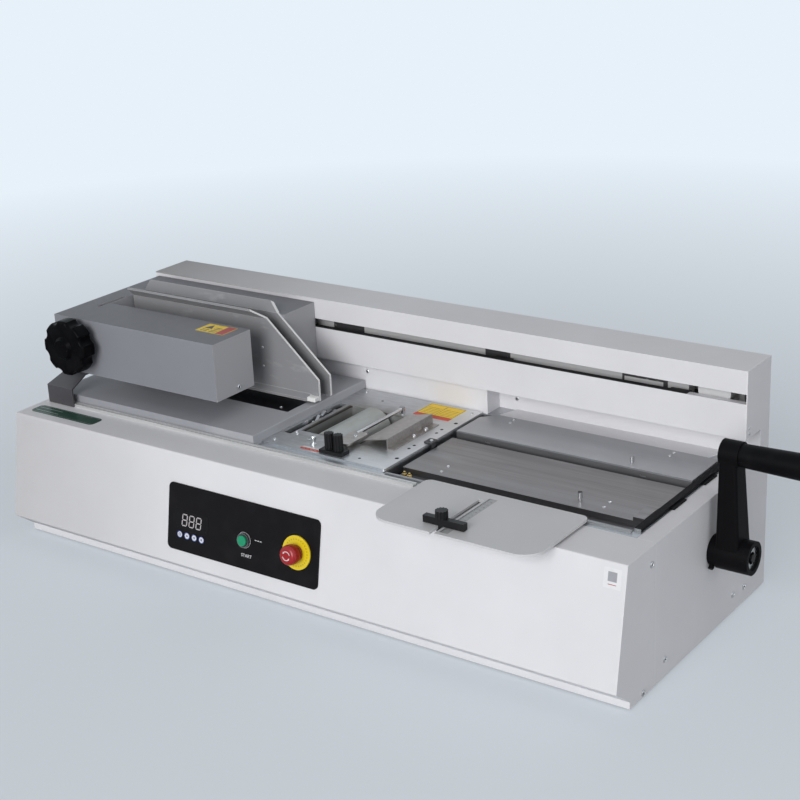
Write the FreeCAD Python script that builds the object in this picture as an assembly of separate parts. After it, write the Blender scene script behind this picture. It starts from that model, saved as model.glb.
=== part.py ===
"""Desktop hot-melt book binder.

A clamp carriage holds a block of pages, carries it from the left deck over a milling cutter and a
glue roller, and stops above a nipping table, which a side lever lifts against the glued spine.
Lengths are in millimetres. X runs along the machine, Y to the back and Z up. The origin is at the
middle of the footprint, on the bench.
"""
import FreeCAD, Part
import math
import os

from FreeCAD import Placement, Rotation, Vector

# Whole machine
housing_length = 1200.0
housing_depth = 460.0
ledge_height = 228.0
riser_height = 49.0
beam_height = 110.0
beam_depth = 85.0
sheet = 1.5
bend_radius = 2.5
face_gap = 0.3
running_gap = 0.05
slide_gap = 0.3
overrun = 10.0

# Front cover
front_lean = 33.0
front_fold_height = 44.0
undercut_height = 14.0
plinth_setback = 6.0
pad_height = 3.0
cheek_depth = 82.0

# Side panels and rear cover
rim_width = 30.0
riser_left_depth = 70.0
riser_right_depth = 32.0
riser_step_x = 128.0
vent_length = 46.0
vent_width = 4.0
vent_pitch = 12.0
vent_rows = 2
vent_row_pitch = 60.0
vent_count = 10
vent_height = 120.0
vent_center_x = -260.0
rear_strip_low_x = 150.0
rear_strip_high_set = 70.0
rear_strip_thickness = 2.0
rear_strip_slant = 14.0

# Base pan, pads and bulkheads
pan_thickness = 2.0
pan_flange = 24.0
pan_flange_thickness = 2.0
pad_radius = 16.0
pad_grip = 2.0
pad_boss_radius = 5.0
pad_inset_x = 60.0
pad_inset_y = 50.0
bulkhead_thickness = 4.0
bulkhead_flange = 16.0
bulkhead_left_set = 32.0
bulkhead_cutter_x = -126.0
bulkhead_mid_x = 116.0
bulkhead_right_set = 42.0
bulkhead_front_inset = 12.0
deck_plate_thickness = 3.0

# Beam
beam_slot_low_rise = 57.0
beam_slot_high_rise = 73.0
beam_lip = 12.0
beam_plate_thickness = 4.0
rail_width = 20.0
rail_height = 30.0
rail_bottom_rise = 49.0
rail_front_set = 30.0
rail_left_set = 8.0
rail_right_set = 50.0
post_length = 12.0
bracket_thickness = 3.0
bracket_width = 60.0
bracket_set = 58.0
bracket_top_rise = 99.0

# Belt drive in the beam
pulley_radius = 26.0
pulley_width = 12.0
pulley_axis_rise = 64.0
pulley_bore = 5.0
drive_pulley_set = 60.0
idler_pulley_set = 55.0
belt_thickness = 2.0
belt_width = 11.0
drive_shaft_length = 34.0
motor_radius = 27.0
motor_length = 44.0
gearbox_side = 44.0
gearbox_length = 16.0
belt_clamp_length = 30.0
belt_clamp_thickness = 3.0
sensor_size = 14.0
sensor_length = 34.0
sensor_stem = 4.0
sensor_left_x = 162.0
sensor_right_set = 117.0

# Left deck, jog plate and ledge rail
deck_left_set = 16.0
deck_right_x = -127.0
deck_rear_set = 2.0
deck_thickness = 18.0
deck_edge = 1.5
jog_left_set = 70.0
jog_right_x = -147.0
jog_front_share = 0.37013
jog_rear_share = 0.70779
jog_plate_thickness = 5.0
ledge_rail_left_set = 8.0
ledge_rail_right_x = 199.0
ledge_rail_width = 11.0
ledge_rail_height = 6.0
ledge_rail_setback = 2.0
ledge_rail_groove = 3.0
ledge_rail_groove_depth = 1.5

# Middle plate and its openings
mid_plate_right_x = 121.0
mid_plate_front_set = 21.0
mid_plate_thickness = 3.0
mid_plate_corner = 4.0
tank_opening_left_x = -94.0
tank_opening_right_x = 22.0
tank_opening_front_share = 0.28571
tank_opening_rear_share = 0.72403
tank_opening_corner = 5.0
tank_wall = 4.0
tank_depth = 82.0
tank_lap = 3.0
tank_floor = 6.0
heater_thickness = 12.0
heater_inset = 14.0

# Glue roller and wiping rod
roller_radius = 34.0
roller_x = -42.0
roller_top_rise = 10.0
roller_end_gap = 4.0
roller_shaft_radius = 6.0
roller_shaft_stub = 16.0
roller_edge = 1.0
wiper_radius = 3.0
wiper_x = 6.0
wiper_rise = 12.0
wiper_front_share = 0.33766
wiper_rear_share = 0.75325
wiper_post_radius = 5.0

# Scraper bracket, glue guard and adjusters
scraper_left_x = -4.0
scraper_right_x = 26.0
scraper_front_share = 0.17532
scraper_rear_share = 0.36364
scraper_thickness = 3.0
scraper_corner = 9.0
scraper_bottom_rise = 10.5
scraper_leg = 5.0
guard_left_x = 28.0
guard_right_x = 76.0
guard_front_share = 0.29221
guard_rear_share = 0.70779
guard_low_rise = 8.0
guard_high_rise = 19.0
guard_sheet = 1.5
guard_foot = 14.0
adjuster_left_x = -12.0
adjuster_right_x = 33.0
adjuster_front_set = 26.0
adjuster_rear_set = 47.0
adjuster_height = 6.0
thumb_radius = 8.0
thumb_height = 27.0
thumb_stem_radius = 3.0
thumb_stem_length = 5.0
thumb_flutes = 10
thumb_flute_radius = 1.3
thumb_left_x = 2.0
thumb_right_x = 20.0

# Milling cutter
cutter_x = -112.0
cutter_share = 0.55195
cutter_radius = 62.0
cutter_top_rise = 8.0
cutter_thickness = 6.0
cutter_teeth = 24
cutter_tooth_depth = 5.0
cutter_slot_front_share = 0.22403
cutter_slot_rear_share = 0.72403
cutter_slot_half = 7.0
cutter_hub_radius = 16.0
cutter_bore = 7.0
cutter_shaft_reach = 9.0
cutter_motor_radius = 37.0
cutter_motor_length = 88.0
cutter_motor_ribs = 12
cutter_motor_rib = 3.0
cutter_gullet_share = 0.35

# Nipping table
table_left_x = 130.0
table_right_set = 48.0
table_front_set = 18.0
table_rear_set = 4.0
table_top_drop = 14.0
table_thickness = 16.0
table_opening_gap = 4.0
table_rail_width = 5.0
table_rail_height = 4.0
rear_nip_front_share = 0.68182
rear_nip_top_rise = 4.0
rear_nip_chamfer = 24.0
nip_edge = 2.0
front_nip_front_share = 0.18506
front_nip_rear_share = 0.6461
front_nip_top_drop = 4.0
front_block_length = 18.0
front_block_width = 44.0
front_block_height = 6.0
nip_slot_length = 10.0
nip_slot_height = 3.0
nip_slot_left_x = 190.0
nip_slot_right_set = 82.0
register_pin_radius = 3.5
register_pin_height = 12.0
register_pin_neck = 2.4
register_neck_share = 0.25
rear_pin_set = 157.0
rear_pin_share = 0.73506
front_pin_set = 168.0
front_pin_share = 0.275
side_bar_width = 11.0
side_bar_height = 5.0
side_bar_tab = 6.0
side_bar_tab_shares = ((0.32, 0.46), (0.68, 0.82))
guide_post_radius = 7.0
guide_post_inset = 34.0
guide_post_reach = 10.0
guide_post_foot_radius = 14.0
guide_post_foot = 8.0

# Side lever
lever_axis_share = 0.6039
lever_axis_drop = 87.0
shaft_radius = 9.0
bearing_radius = 17.0
bearing_length = 14.0
cam_base_radius = 9.0
cam_width = 16.0
cam_left_set = 76.0
cam_right_set = 82.0
cam_lift_angle = 95.0
cam_steps = 12
cam_heel_share = 1.6
lever_collar_radius = 24.0
lever_collar_length = 12.0
collar_screw_radius = 4.0
collar_screw_length = 7.0
hub_length = 53.0
hub_radius = 26.0
hub_wall = 7.0
hub_recess = 4.0
arm_length = 159.0
arm_low_width = 38.0
arm_low_depth = 46.0
arm_high_width = 27.0
arm_high_depth = 34.0
arm_edge = 5.0
eye_radius = 20.0
eye_length = 30.0
grip_base_radius = 17.5
grip_end_radius = 20.5
grip_length = 122.0
grip_end_round = 8.0
grip_spigot_radius = 8.0
grip_spigot_length = 14.0
washer_thickness = 3.0

# Control panel, on the slanted front
panel_left_x = -233.0
panel_right_x = 80.0
panel_high_share = 0.2648
panel_low_share = 0.86661
panel_thickness = 2.0
panel_corner = 9.0
panel_lap = 10.0
display_high_share = 0.5082
key_count = 4
key_first_x = -206.0
key_pitch = 15.6
key_down_share = 0.71682
key_radius = 6.0
key_stand = 0.8
board_gap = 9.0
board_thickness = 1.6
board_left_x = -222.0
board_right_x = -140.0
board_post_radius = 3.0
board_post_inset = 5.0
start_x = -70.0
start_down_share = 0.60983
start_bezel_radius = 12.0
start_bezel_height = 4.0
start_barrel_radius = 11.0
start_barrel_length = 30.0
start_cap_radius = 8.5
start_cap_stand = 3.0
start_travel = 2.5
switch_wall = 2.0
estop_x = 37.0
estop_down_share = 0.58844
estop_ring_radius = 27.5
estop_ring_thickness = 2.0
estop_collar_radius = 13.0
estop_collar_height = 7.0
estop_barrel_length = 34.0
estop_stem_radius = 7.0
estop_head_radius = 16.0
estop_head_height = 15.0
estop_head_low = 12.0
estop_travel = 4.0
estop_dome = 7.0
estop_head_wall = 3.0

# Feed shelf and its stop
shelf_left_x = 207.0
shelf_right_set = 112.0
shelf_front_set = 60.0
shelf_rear_set = 15.0
shelf_bottom_rise = 4.0
shelf_thickness = 4.0
shelf_front_radius = 34.0
shelf_rear_radius = 12.0
shelf_foot_width = 10.0
shelf_foot_inset = 26.0
shelf_slot_x = 321.0
shelf_slot_width = 8.0
shelf_slot_rear_set = 12.0
stop_left = 30.0
stop_right = 40.0
stop_front_set = 38.0
stop_depth = 10.0
stop_height = 11.0
stop_lip = 3.0
stop_lift = 1.2
stop_screw_radius = 3.0
stop_nut_radius = 8.0
stop_nut_thickness = 3.0
stop_knob_radius = 9.5
stop_knob_height = 12.0
stop_knob_flutes = 12
stop_knob_flute = 1.4

# Clamp carriage
carriage_left_set = 9.0
carriage_right_x = -220.0
carriage_front_set = 23.0
carriage_bottom_rise = 3.0
carriage_top_rise = 103.0
carriage_beam_gap = 1.0
jaw_bay_left_set = 53.0
front_box_rear_share = 0.38312
rear_box_front_share = 0.67532
carriage_sheet = 2.0
carriage_base_thickness = 10.0
slit_width = 6.0
slit_front_share = 0.30195
slit_rear_share = 0.51948
slit_set = 47.0
arm_thickness = 10.0
arm_rise = 60.0
slide_block_length = 70.0
slide_block_left_set = 16.0
slide_block_right_set = 90.0
slide_wall = 7.0
slide_foot_thickness = 10.0
slide_foot_inset = 16.0
foot_bracket_left_set = 13.0
foot_bracket_right_set = 74.0
foot_bracket_sheet = 3.0
foot_bracket_front_gap = 3.0
foot_bracket_low_top_rise = 34.0
foot_bracket_floor_gap = 1.0
foot_bracket_chamfer = 18.0
foot_bracket_flange = 26.0

# Jaws
jaw_left_set = 57.0
jaw_right_x = -124.0
jaw_bottom_rise = 22.0
jaw_knee_rise = 59.0
jaw_slope_x = -231.0
jaw_shoulder_rise = 106.0
jaw_lip_rise = 121.0
jaw_lip_reach = 15.0
jaw_lip_set = 26.0
jaw_thickness = 4.0
jaw_gap = 27.0
jaw_foot_reach = 11.0
jaw_foot_rise = 5.0
pad_block_width = 18.0
jaw_rod_radius = 8.0
jaw_rod_left_set = 151.0
jaw_rod_right_set = 60.0
jaw_rod_rise = 45.0
jaw_rod_front_set = 38.0
bush_block_width = 44.0
bush_block_depth = 26.0
bush_block_top_rise = 65.0
screw_set = 71.0
screw_rise = 61.0
screw_radius = 7.0
screw_tip_set = 39.0
nut_radius = 10.0
nut_length = 75.0
screw_bearing_width = 40.0
screw_bearing_depth = 18.0

# Handwheel
wheel_radius = 49.0
wheel_thickness = 30.0
wheel_front_set = 44.0
wheel_lobes = 8
wheel_scallop_radius = 13.0
wheel_scallop_set = 8.5
wheel_edge = 5.0
wheel_hub_radius = 18.0
wheel_hub_gap = 1.0
wheel_dome_radius = 21.0
wheel_dome_height = 5.0

# Power entry and parts in the base
inlet_set = 170.0
inlet_z = 70.0
inlet_width = 48.0
inlet_height = 58.0
inlet_flange = 3.0
inlet_body_width = 28.0
inlet_body_height = 48.0
inlet_body_depth = 30.0
inlet_socket_width = 24.0
inlet_socket_height = 17.0
inlet_socket_depth = 16.0
inlet_pin = 2.0
inlet_pin_length = 12.0
inlet_pin_pitch = 7.0
rocker_width = 20.0
rocker_height = 13.0
rocker_depth = 7.0
rocker_tilt = 6.0
rocker_gap = 0.9
rocker_set = 0.6
supply_length = 150.0
supply_width = 92.0
supply_height = 42.0
supply_front_set = 48.0
control_length = 170.0
control_width = 110.0
control_thickness = 2.0
control_left_set = 180.0
control_front_set = 28.0
control_post = 12.0
relay_length = 28.0
relay_width = 20.0
relay_height = 16.0
roller_motor_radius = 19.0
roller_motor_length = 58.0

# Places worked out from the sizes above
half_length = housing_length / 2
front_y = -housing_depth / 2
rear_y = housing_depth / 2
seam_y = front_y + cheek_depth
inner_x = half_length - sheet - face_gap
beam_bottom = ledge_height + riser_height
beam_front_y = rear_y - beam_depth
beam_top = beam_bottom + beam_height
riser_left_y = rear_y - riser_left_depth
riser_right_y = rear_y - riser_right_depth
deck_depth = riser_left_y - seam_y
pan_top = pad_height + pan_thickness
deck_plate_bottom = ledge_height - deck_plate_thickness
mid_plate_top = ledge_height + mid_plate_thickness
face_run = math.hypot(front_lean, ledge_height - front_fold_height)
beam_slot_low = beam_bottom + beam_slot_low_rise
beam_slot_high = beam_bottom + beam_slot_high_rise
rail_bottom = beam_bottom + rail_bottom_rise
bracket_top = beam_bottom + bracket_top_rise
pulley_axis_z = beam_bottom + pulley_axis_rise
carriage_bottom = beam_bottom + carriage_bottom_rise
carriage_top = beam_bottom + carriage_top_rise
arm_z = beam_bottom + arm_rise
jaw_shoulder_z = beam_bottom + jaw_shoulder_rise
jaw_lip_z = beam_bottom + jaw_lip_rise
jaw_rod_z = beam_bottom + jaw_rod_rise
bush_block_top = beam_bottom + bush_block_top_rise
screw_z = beam_bottom + screw_rise
roller_top = ledge_height + roller_top_rise
wiper_z = ledge_height + wiper_rise
scraper_bottom = ledge_height + scraper_bottom_rise
guard_low_z = ledge_height + guard_low_rise
guard_high_z = ledge_height + guard_high_rise
cutter_top = ledge_height + cutter_top_rise
rear_nip_top = ledge_height + rear_nip_top_rise
shelf_bottom = ledge_height + shelf_bottom_rise
foot_bracket_low_top = ledge_height + foot_bracket_low_top_rise
jaw_bottom = ledge_height + jaw_bottom_rise
jaw_knee_z = ledge_height + jaw_knee_rise
table_top = ledge_height - table_top_drop
front_nip_top = ledge_height - front_nip_top_drop
lever_axis_z = ledge_height - lever_axis_drop
deck_left_x = -half_length + deck_left_set
jog_left_x = -half_length + jog_left_set
ledge_rail_left_x = -half_length + ledge_rail_left_set
idler_pulley_x = -half_length + idler_pulley_set
carriage_left_x = -half_length + carriage_left_set
jaw_bay_left_x = -half_length + jaw_bay_left_set
slit_x = -half_length + slit_set
foot_bracket_left_x = -half_length + foot_bracket_left_set
foot_bracket_right_x = -half_length + foot_bracket_right_set
jaw_left_x = -half_length + jaw_left_set
screw_x = -half_length + screw_set
bulkhead_left_x = -half_length + bulkhead_left_set
rail_left_x = -half_length + rail_left_set
drive_pulley_x = half_length - drive_pulley_set
table_right_x = half_length - table_right_set
bulkhead_right_x = half_length - bulkhead_right_set
rear_strip_high_x = half_length - rear_strip_high_set
rear_pin_x = half_length - rear_pin_set
front_pin_x = half_length - front_pin_set
shelf_right_x = half_length - shelf_right_set
inlet_x = half_length - inlet_set
rail_right_x = drive_pulley_x - rail_right_set
sensor_xs = (sensor_left_x, half_length - sensor_right_set)
thumb_xs = (thumb_left_x, thumb_right_x)
nip_slot_xs = (nip_slot_left_x, table_right_x - nip_slot_right_set)
cam_xs = (table_left_x + cam_left_set, table_right_x - cam_right_set)
slide_block_xs = (carriage_left_x + slide_block_left_set, carriage_right_x - slide_block_right_set)
jaw_rod_xs = (carriage_left_x + jaw_rod_left_set, carriage_right_x - jaw_rod_right_set)
deck_rear_y = riser_left_y - deck_rear_set
table_rear_y = riser_left_y - table_rear_set
mid_plate_front_y = seam_y + mid_plate_front_set
adjuster_front_y = seam_y + adjuster_front_set
adjuster_rear_y = seam_y + adjuster_rear_set
table_front_y = seam_y + table_front_set
shelf_rear_y = seam_y + shelf_rear_set
shelf_slot_rear_y = seam_y - shelf_slot_rear_set
shelf_front_y = front_y - shelf_front_set
stop_front_y = front_y - stop_front_set
carriage_front_y = seam_y + carriage_front_set
wheel_front_y = carriage_front_y - wheel_front_set
jog_front_y = seam_y + deck_depth * jog_front_share
jog_rear_y = seam_y + deck_depth * jog_rear_share
tank_opening_front_y = seam_y + deck_depth * tank_opening_front_share
tank_opening_rear_y = seam_y + deck_depth * tank_opening_rear_share
wiper_front_y = seam_y + deck_depth * wiper_front_share
wiper_rear_y = seam_y + deck_depth * wiper_rear_share
scraper_front_y = seam_y + deck_depth * scraper_front_share
scraper_rear_y = seam_y + deck_depth * scraper_rear_share
guard_front_y = seam_y + deck_depth * guard_front_share
guard_rear_y = seam_y + deck_depth * guard_rear_share
cutter_y = seam_y + deck_depth * cutter_share
cutter_slot_front_y = seam_y + deck_depth * cutter_slot_front_share
cutter_slot_rear_y = seam_y + deck_depth * cutter_slot_rear_share
rear_nip_front_y = seam_y + deck_depth * rear_nip_front_share
front_nip_front_y = seam_y + deck_depth * front_nip_front_share
front_nip_rear_y = seam_y + deck_depth * front_nip_rear_share
rear_pin_y = seam_y + deck_depth * rear_pin_share
front_pin_y = seam_y + deck_depth * front_pin_share
lever_axis_y = seam_y + deck_depth * lever_axis_share
front_box_rear_y = seam_y + deck_depth * front_box_rear_share
rear_box_front_y = seam_y + deck_depth * rear_box_front_share
slit_front_y = seam_y + deck_depth * slit_front_share
slit_rear_y = seam_y + deck_depth * slit_rear_share
panel_high = face_run * panel_high_share
panel_low = face_run * panel_low_share
display_high = face_run * display_high_share
key_down = face_run * key_down_share
start_down = face_run * start_down_share
estop_down = face_run * estop_down_share
x_axis = Vector(1, 0, 0)
y_axis = Vector(0, 1, 0)
z_axis = Vector(0, 0, 1)


def box(x, y, z):
    """A block from three (low, high) pairs."""
    corner = Vector(x[0], y[0], z[0])
    return Part.makeBox(x[1] - x[0], y[1] - y[0], z[1] - z[0], corner)


def about(center, width):
    """The (low, high) pair of a width laid evenly about a centre."""
    return (center - width / 2, center + width / 2)


def rod(radius, start, end):
    """A cylinder between two points."""
    run = end - start
    return Part.makeCylinder(radius, run.Length, start, run)


def cone(low_radius, high_radius, start, end):
    """A cone frustum between two points."""
    run = end - start
    return Part.makeCone(low_radius, high_radius, run.Length, start, run)


def outline_points(points, axis, level):
    """Lifts 2-D points into space, in the plane across the given axis."""
    if axis == "x":
        return [Vector(level, a, b) for a, b in points]
    if axis == "y":
        return [Vector(a, level, b) for a, b in points]
    return [Vector(a, b, level) for a, b in points]


def prism(points, axis, low, high):
    """A straight-sided outline carried along an axis from low to high."""
    corners = outline_points(points, axis, low)
    face = Part.Face(Part.makePolygon(corners + corners[:1]))
    run = {"x": x_axis, "y": y_axis, "z": z_axis}[axis] * (high - low)
    return face.extrude(run)


def shifted(points, distance, closed):
    """The points of a path moved sideways to its left, with mitred corners."""
    moved = []
    count = len(points)
    for index, (a, b) in enumerate(points):
        sides = []
        for first, second in ((index - 1, index), (index, index + 1)):
            if closed or (first >= 0 and second < count):
                start = points[first % count]
                end = points[second % count]
                run = math.hypot(end[0] - start[0], end[1] - start[1])
                sides.append(((start[1] - end[1]) / run, (end[0] - start[0]) / run))
        across = (sum(side[0] for side in sides), sum(side[1] for side in sides))
        reach = across[0] * sides[0][0] + across[1] * sides[0][1]
        moved.append((a + across[0] / reach * distance, b + across[1] / reach * distance))
    return moved


def folded(points, thickness):
    """The outline of a folded sheet whose outer face follows an open path."""
    return points + shifted(points, thickness, False)[::-1]


def straight_edges(shape, direction):
    """The straight edges that run along a direction."""
    chosen = []
    for edge in shape.Edges:
        if isinstance(edge.Curve, Part.Line) and abs(edge.Curve.Direction.dot(direction)) > 0.999:
            chosen.append(edge)
    return chosen


def round_edges(shape):
    """The circular edges of a shape."""
    return [edge for edge in shape.Edges if isinstance(edge.Curve, Part.Circle)]


def round_upright(shape, radius):
    """Rounds the upright edges of a plate."""
    return shape.makeFillet(radius, straight_edges(shape, z_axis))


def save(name, *solids):
    """Writes one node, made of one or more separate solids."""
    clean = [solid.removeSplitter() for solid in solids]
    shape = clean[0] if len(clean) == 1 else Part.makeCompound(clean)
    shape.exportStep("parts/" + name + ".step")


os.makedirs("parts", exist_ok=True)


# Base pan: a tray with turned-up flanges and bosses for the pads
def base_pan():
    low = (-inner_x, inner_x)
    deep = (front_y + plinth_setback + sheet + face_gap, rear_y - sheet - face_gap)
    tray = box(low, deep, (pad_height, pad_height + pan_flange))
    inside = box((low[0] + pan_flange_thickness, low[1] - pan_flange_thickness),
                 (deep[0] + pan_flange_thickness, deep[1] - pan_flange_thickness),
                 (pan_top, pad_height + pan_flange + overrun))
    tray = tray.cut(inside)
    for x, y in pad_places:
        tray = tray.cut(rod(pad_boss_radius, Vector(x, y, 0), Vector(x, y, pan_top + overrun)))
    return tray


def rubber_pads():
    pads = []
    for x, y in pad_places:
        foot = cone(pad_radius - pad_grip, pad_radius, Vector(x, y, 0), Vector(x, y, pad_height))
        neck = rod(pad_boss_radius, Vector(x, y, 0), Vector(x, y, pan_top))
        button = rod(pad_boss_radius + pad_grip, Vector(x, y, pan_top),
                     Vector(x, y, pan_top + pad_grip))
        pads.append(foot.fuse(neck).fuse(button))
    save("rubber_pads", *pads)


pad_places = [(x, y) for x in (-half_length + pad_inset_x, 0, half_length - pad_inset_x)
              for y in (front_y + pad_inset_y, rear_y - pad_inset_y)] + [(0, 0)]
rubber_pads()


# Bulkheads: folded plates across the machine that carry the deck
def bulkhead(x, flange_side):
    """One folded plate: an upright web with a flange at its top and at its foot."""
    low = pan_top
    high = deck_plate_bottom
    thickness = bulkhead_thickness
    path = [(x + flange_side * bulkhead_flange, low), (x, low), (x, high),
            (x + flange_side * bulkhead_flange, high)]
    return prism(folded(path, -flange_side * thickness), "y", bulkhead_front_y, bulkhead_rear_y)


def bulkheads():
    left = bulkhead(bulkhead_left_x, 1)
    cutter = bulkhead(bulkhead_cutter_x, -1)
    cutter = cutter.cut(rod(cutter_bore + face_gap,
                            Vector(bulkhead_cutter_x - overrun, cutter_y, cutter_z),
                            Vector(bulkhead_cutter_x + overrun, cutter_y, cutter_z)))
    middle = bulkhead(bulkhead_mid_x, -1)
    right = bulkhead(bulkhead_right_x, 1)
    plates = [left, cutter]
    for plate, x in ((middle, bulkhead_mid_x), (right, bulkhead_right_x)):
        hole = rod(bearing_radius, Vector(x - overrun, lever_axis_y, lever_axis_z),
                   Vector(x + overrun, lever_axis_y, lever_axis_z))
        plates.append(plate.cut(hole))
    return plates


cutter_z = cutter_top - cutter_radius
bulkhead_front_y = seam_y + bulkhead_front_inset
bulkhead_rear_y = rear_y - bulkhead_front_inset
save("chassis_plates", base_pan(), *bulkheads())


# Deck plate: the steel plate that carries everything on top
def deck_plate():
    plate = box((-half_length + rim_width + face_gap, half_length - rim_width - face_gap),
                (seam_y + face_gap, rear_y - sheet - face_gap), (deck_plate_bottom, ledge_height))
    through = (deck_plate_bottom - overrun, ledge_height + overrun)
    lap = tank_wall + tank_lap
    cuts = [box(table_opening_x, table_opening_y, through),
            box((tank_opening_left_x - lap, tank_opening_right_x + lap),
                (tank_opening_front_y - lap, tank_opening_rear_y + lap), through),
            box(about(cutter_x, 2 * cutter_slot_half), (cutter_slot_front_y, cutter_slot_rear_y), through)]
    for cut in cuts:
        plate = plate.cut(cut)
    save("deck_plate", plate)


table_opening_x = (mid_plate_right_x + face_gap, table_right_x + table_opening_gap)
table_opening_y = (table_front_y - table_opening_gap, table_rear_y + face_gap)
deck_plate()


# Front cover: ledge, slanted front, undercut and both cheeks in one fold
def front_point(x, down, out):
    """A point on the slanted front, a distance down its face and out from it."""
    return Vector(x, front_y, ledge_height) + face_down * down + face_out * out


def on_front(shape):
    """Places a shape drawn with x across, y up the face and z out of it."""
    moved = shape.copy()
    moved.Placement = Placement(Vector(0, front_y, ledge_height), face_turn)
    return moved


def front_cover():
    bottom = (front_y + plinth_setback, pad_height)
    path = [(seam_y, ledge_height), (front_y, ledge_height),
            (front_y - front_lean, front_fold_height),
            (front_y + plinth_setback, undercut_height), bottom]
    cover = prism(folded(path, sheet), "x", -half_length, half_length)
    for low in (-half_length, half_length - sheet):
        cover = cover.fuse(prism(path + [(seam_y, pad_height)], "x", low, low + sheet))
    cover = cover.removeSplitter()
    edge_top = Vector(0, front_y, ledge_height)
    edge_low = Vector(0, front_y - front_lean, front_fold_height)
    folds = [edge for edge in straight_edges(cover, x_axis)
             if min(edge.distToShape(Part.Vertex(point))[0]
                    for point in (edge_top, edge_low)) < sheet / 4]
    cover = cover.makeFillet(bend_radius, folds)
    window = box((panel_left_x + panel_lap, panel_right_x - panel_lap),
                 (-panel_low + panel_lap, -panel_high - panel_lap), (-overrun, overrun))
    save("front_cover", cover.cut(on_front(window)))


face_down = Vector(0, -front_lean, front_fold_height - ledge_height) / face_run
face_out = Vector(0, face_down.z, -face_down.y)
face_turn = Rotation(x_axis, math.degrees(math.atan2(-face_down.z, -face_down.y)))
front_cover()


# End panels: side panels with a rim and an upstand behind, and the beam's end plates
def side_panel(side, riser_y):
    outline = [(seam_y + face_gap, pad_height), (rear_y, pad_height), (rear_y, beam_bottom),
               (riser_y, beam_bottom), (riser_y, ledge_height), (seam_y + face_gap, ledge_height)]
    skin = sorted((side * half_length, side * (half_length - sheet)))
    rim = sorted((side * half_length, side * (half_length - rim_width)))
    panel = prism(outline, "x", *skin)
    panel = panel.fuse(box(rim, (seam_y + face_gap, rear_y - sheet - face_gap),
                           (ledge_height - sheet, ledge_height)))
    if side > 0:
        hole = rod(shaft_radius + face_gap, Vector(half_length - overrun, lever_axis_y, lever_axis_z),
                   Vector(half_length + overrun, lever_axis_y, lever_axis_z))
        panel = panel.cut(hole)
    return panel


def beam_end_plate(side):
    skin = sorted((side * half_length, side * (half_length - sheet)))
    return box(skin, (beam_front_y, rear_y), (beam_bottom, beam_top))


save("end_panels", side_panel(-1, riser_left_y), side_panel(1, riser_right_y),
     beam_end_plate(-1), beam_end_plate(1))


# Riser panel: the upright wall under the beam, stepped back behind the table, with a foot flange there
def riser_panel():
    path = [(-inner_x, riser_left_y), (riser_step_x, riser_left_y),
            (riser_step_x, riser_right_y), (inner_x, riser_right_y)]
    wall = prism(folded(path, sheet), "z", ledge_height, beam_bottom)
    low = rear_strip_low_x
    high = rear_strip_high_x
    outline = [(low, table_rear_y + table_opening_gap), (high, table_rear_y + table_opening_gap),
               (high + rear_strip_slant, riser_right_y), (low + rear_strip_slant, riser_right_y)]
    flange = prism(outline, "z", ledge_height, ledge_height + rear_strip_thickness)
    save("riser_panel", wall.fuse(flange))


riser_panel()


# Rear cover, with two rows of vents and the cut-out for the power inlet
def rear_cover():
    skin = (rear_y - sheet, rear_y)
    cover = box((-inner_x, inner_x), skin, (pad_height, beam_bottom))
    for row in range(vent_rows):
        for column in range(vent_count):
            x = vent_center_x + (column - (vent_count - 1) / 2) * vent_pitch
            z = vent_height + (row - (vent_rows - 1) / 2) * vent_row_pitch
            cover = cover.cut(box(about(x, vent_width), (skin[0] - overrun, skin[1] + overrun),
                                  about(z, vent_length)))
    hole = box(about(inlet_x, inlet_body_width + 2 * face_gap), (skin[0] - overrun, skin[1] + overrun),
               about(inlet_z, inlet_body_height + 2 * face_gap))
    save("rear_cover", cover.cut(hole))


rear_cover()


# Beam: lower front with its floor, upper cover, end plates and the plate that carries the rail
def beam_covers():
    lip_y = beam_front_y + beam_lip
    lower = [(lip_y, beam_slot_low), (beam_front_y, beam_slot_low), (beam_front_y, beam_bottom),
             (rear_y - sheet - face_gap, beam_bottom)]
    save("beam_lower_front", prism(folded(lower, sheet), "x", -half_length + sheet, half_length - sheet))
    upper = [(rear_y, beam_bottom), (rear_y, beam_top), (beam_front_y, beam_top),
             (beam_front_y, beam_slot_high), (lip_y, beam_slot_high)]
    save("beam_cover", prism(folded(upper, sheet), "x", -half_length + sheet, half_length - sheet))


def beam_plate():
    bottom = beam_bottom + sheet
    top = bottom + beam_plate_thickness
    plate = box((-inner_x, inner_x), (beam_front_y + sheet + face_gap, rear_y - sheet - face_gap),
                (bottom, top))
    for low, high in ((rail_left_x, rail_left_x + post_length),
                      (rail_right_x - post_length, rail_right_x)):
        plate = plate.fuse(box((low, high), rail_y, (top, rail_bottom)))
    for x, bore in ((idler_pulley_x, 0), (drive_pulley_x, pulley_bore + face_gap)):
        wall = box(about(x, bracket_width), bracket_y, (top, bracket_top))
        if bore:
            wall = wall.cut(rod(bore, Vector(x, bracket_y[0] - overrun, pulley_axis_z),
                                Vector(x, bracket_y[1] + overrun, pulley_axis_z)))
        else:
            wall = wall.fuse(rod(pulley_bore - running_gap, Vector(x, bracket_y[1], pulley_axis_z),
                                 Vector(x, pulley_y[1] + slide_gap, pulley_axis_z)))
        plate = plate.fuse(wall)
    save("beam_plate", plate)


rail_y = (beam_front_y + rail_front_set, beam_front_y + rail_front_set + rail_width)
bracket_y = (beam_front_y + bracket_set, beam_front_y + bracket_set + bracket_thickness)
pulley_y = (bracket_y[1] + slide_gap, bracket_y[1] + slide_gap + pulley_width)
beam_covers()
beam_plate()
save("guide_rail", box((rail_left_x, rail_right_x), rail_y, (rail_bottom, rail_bottom + rail_height)))


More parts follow.
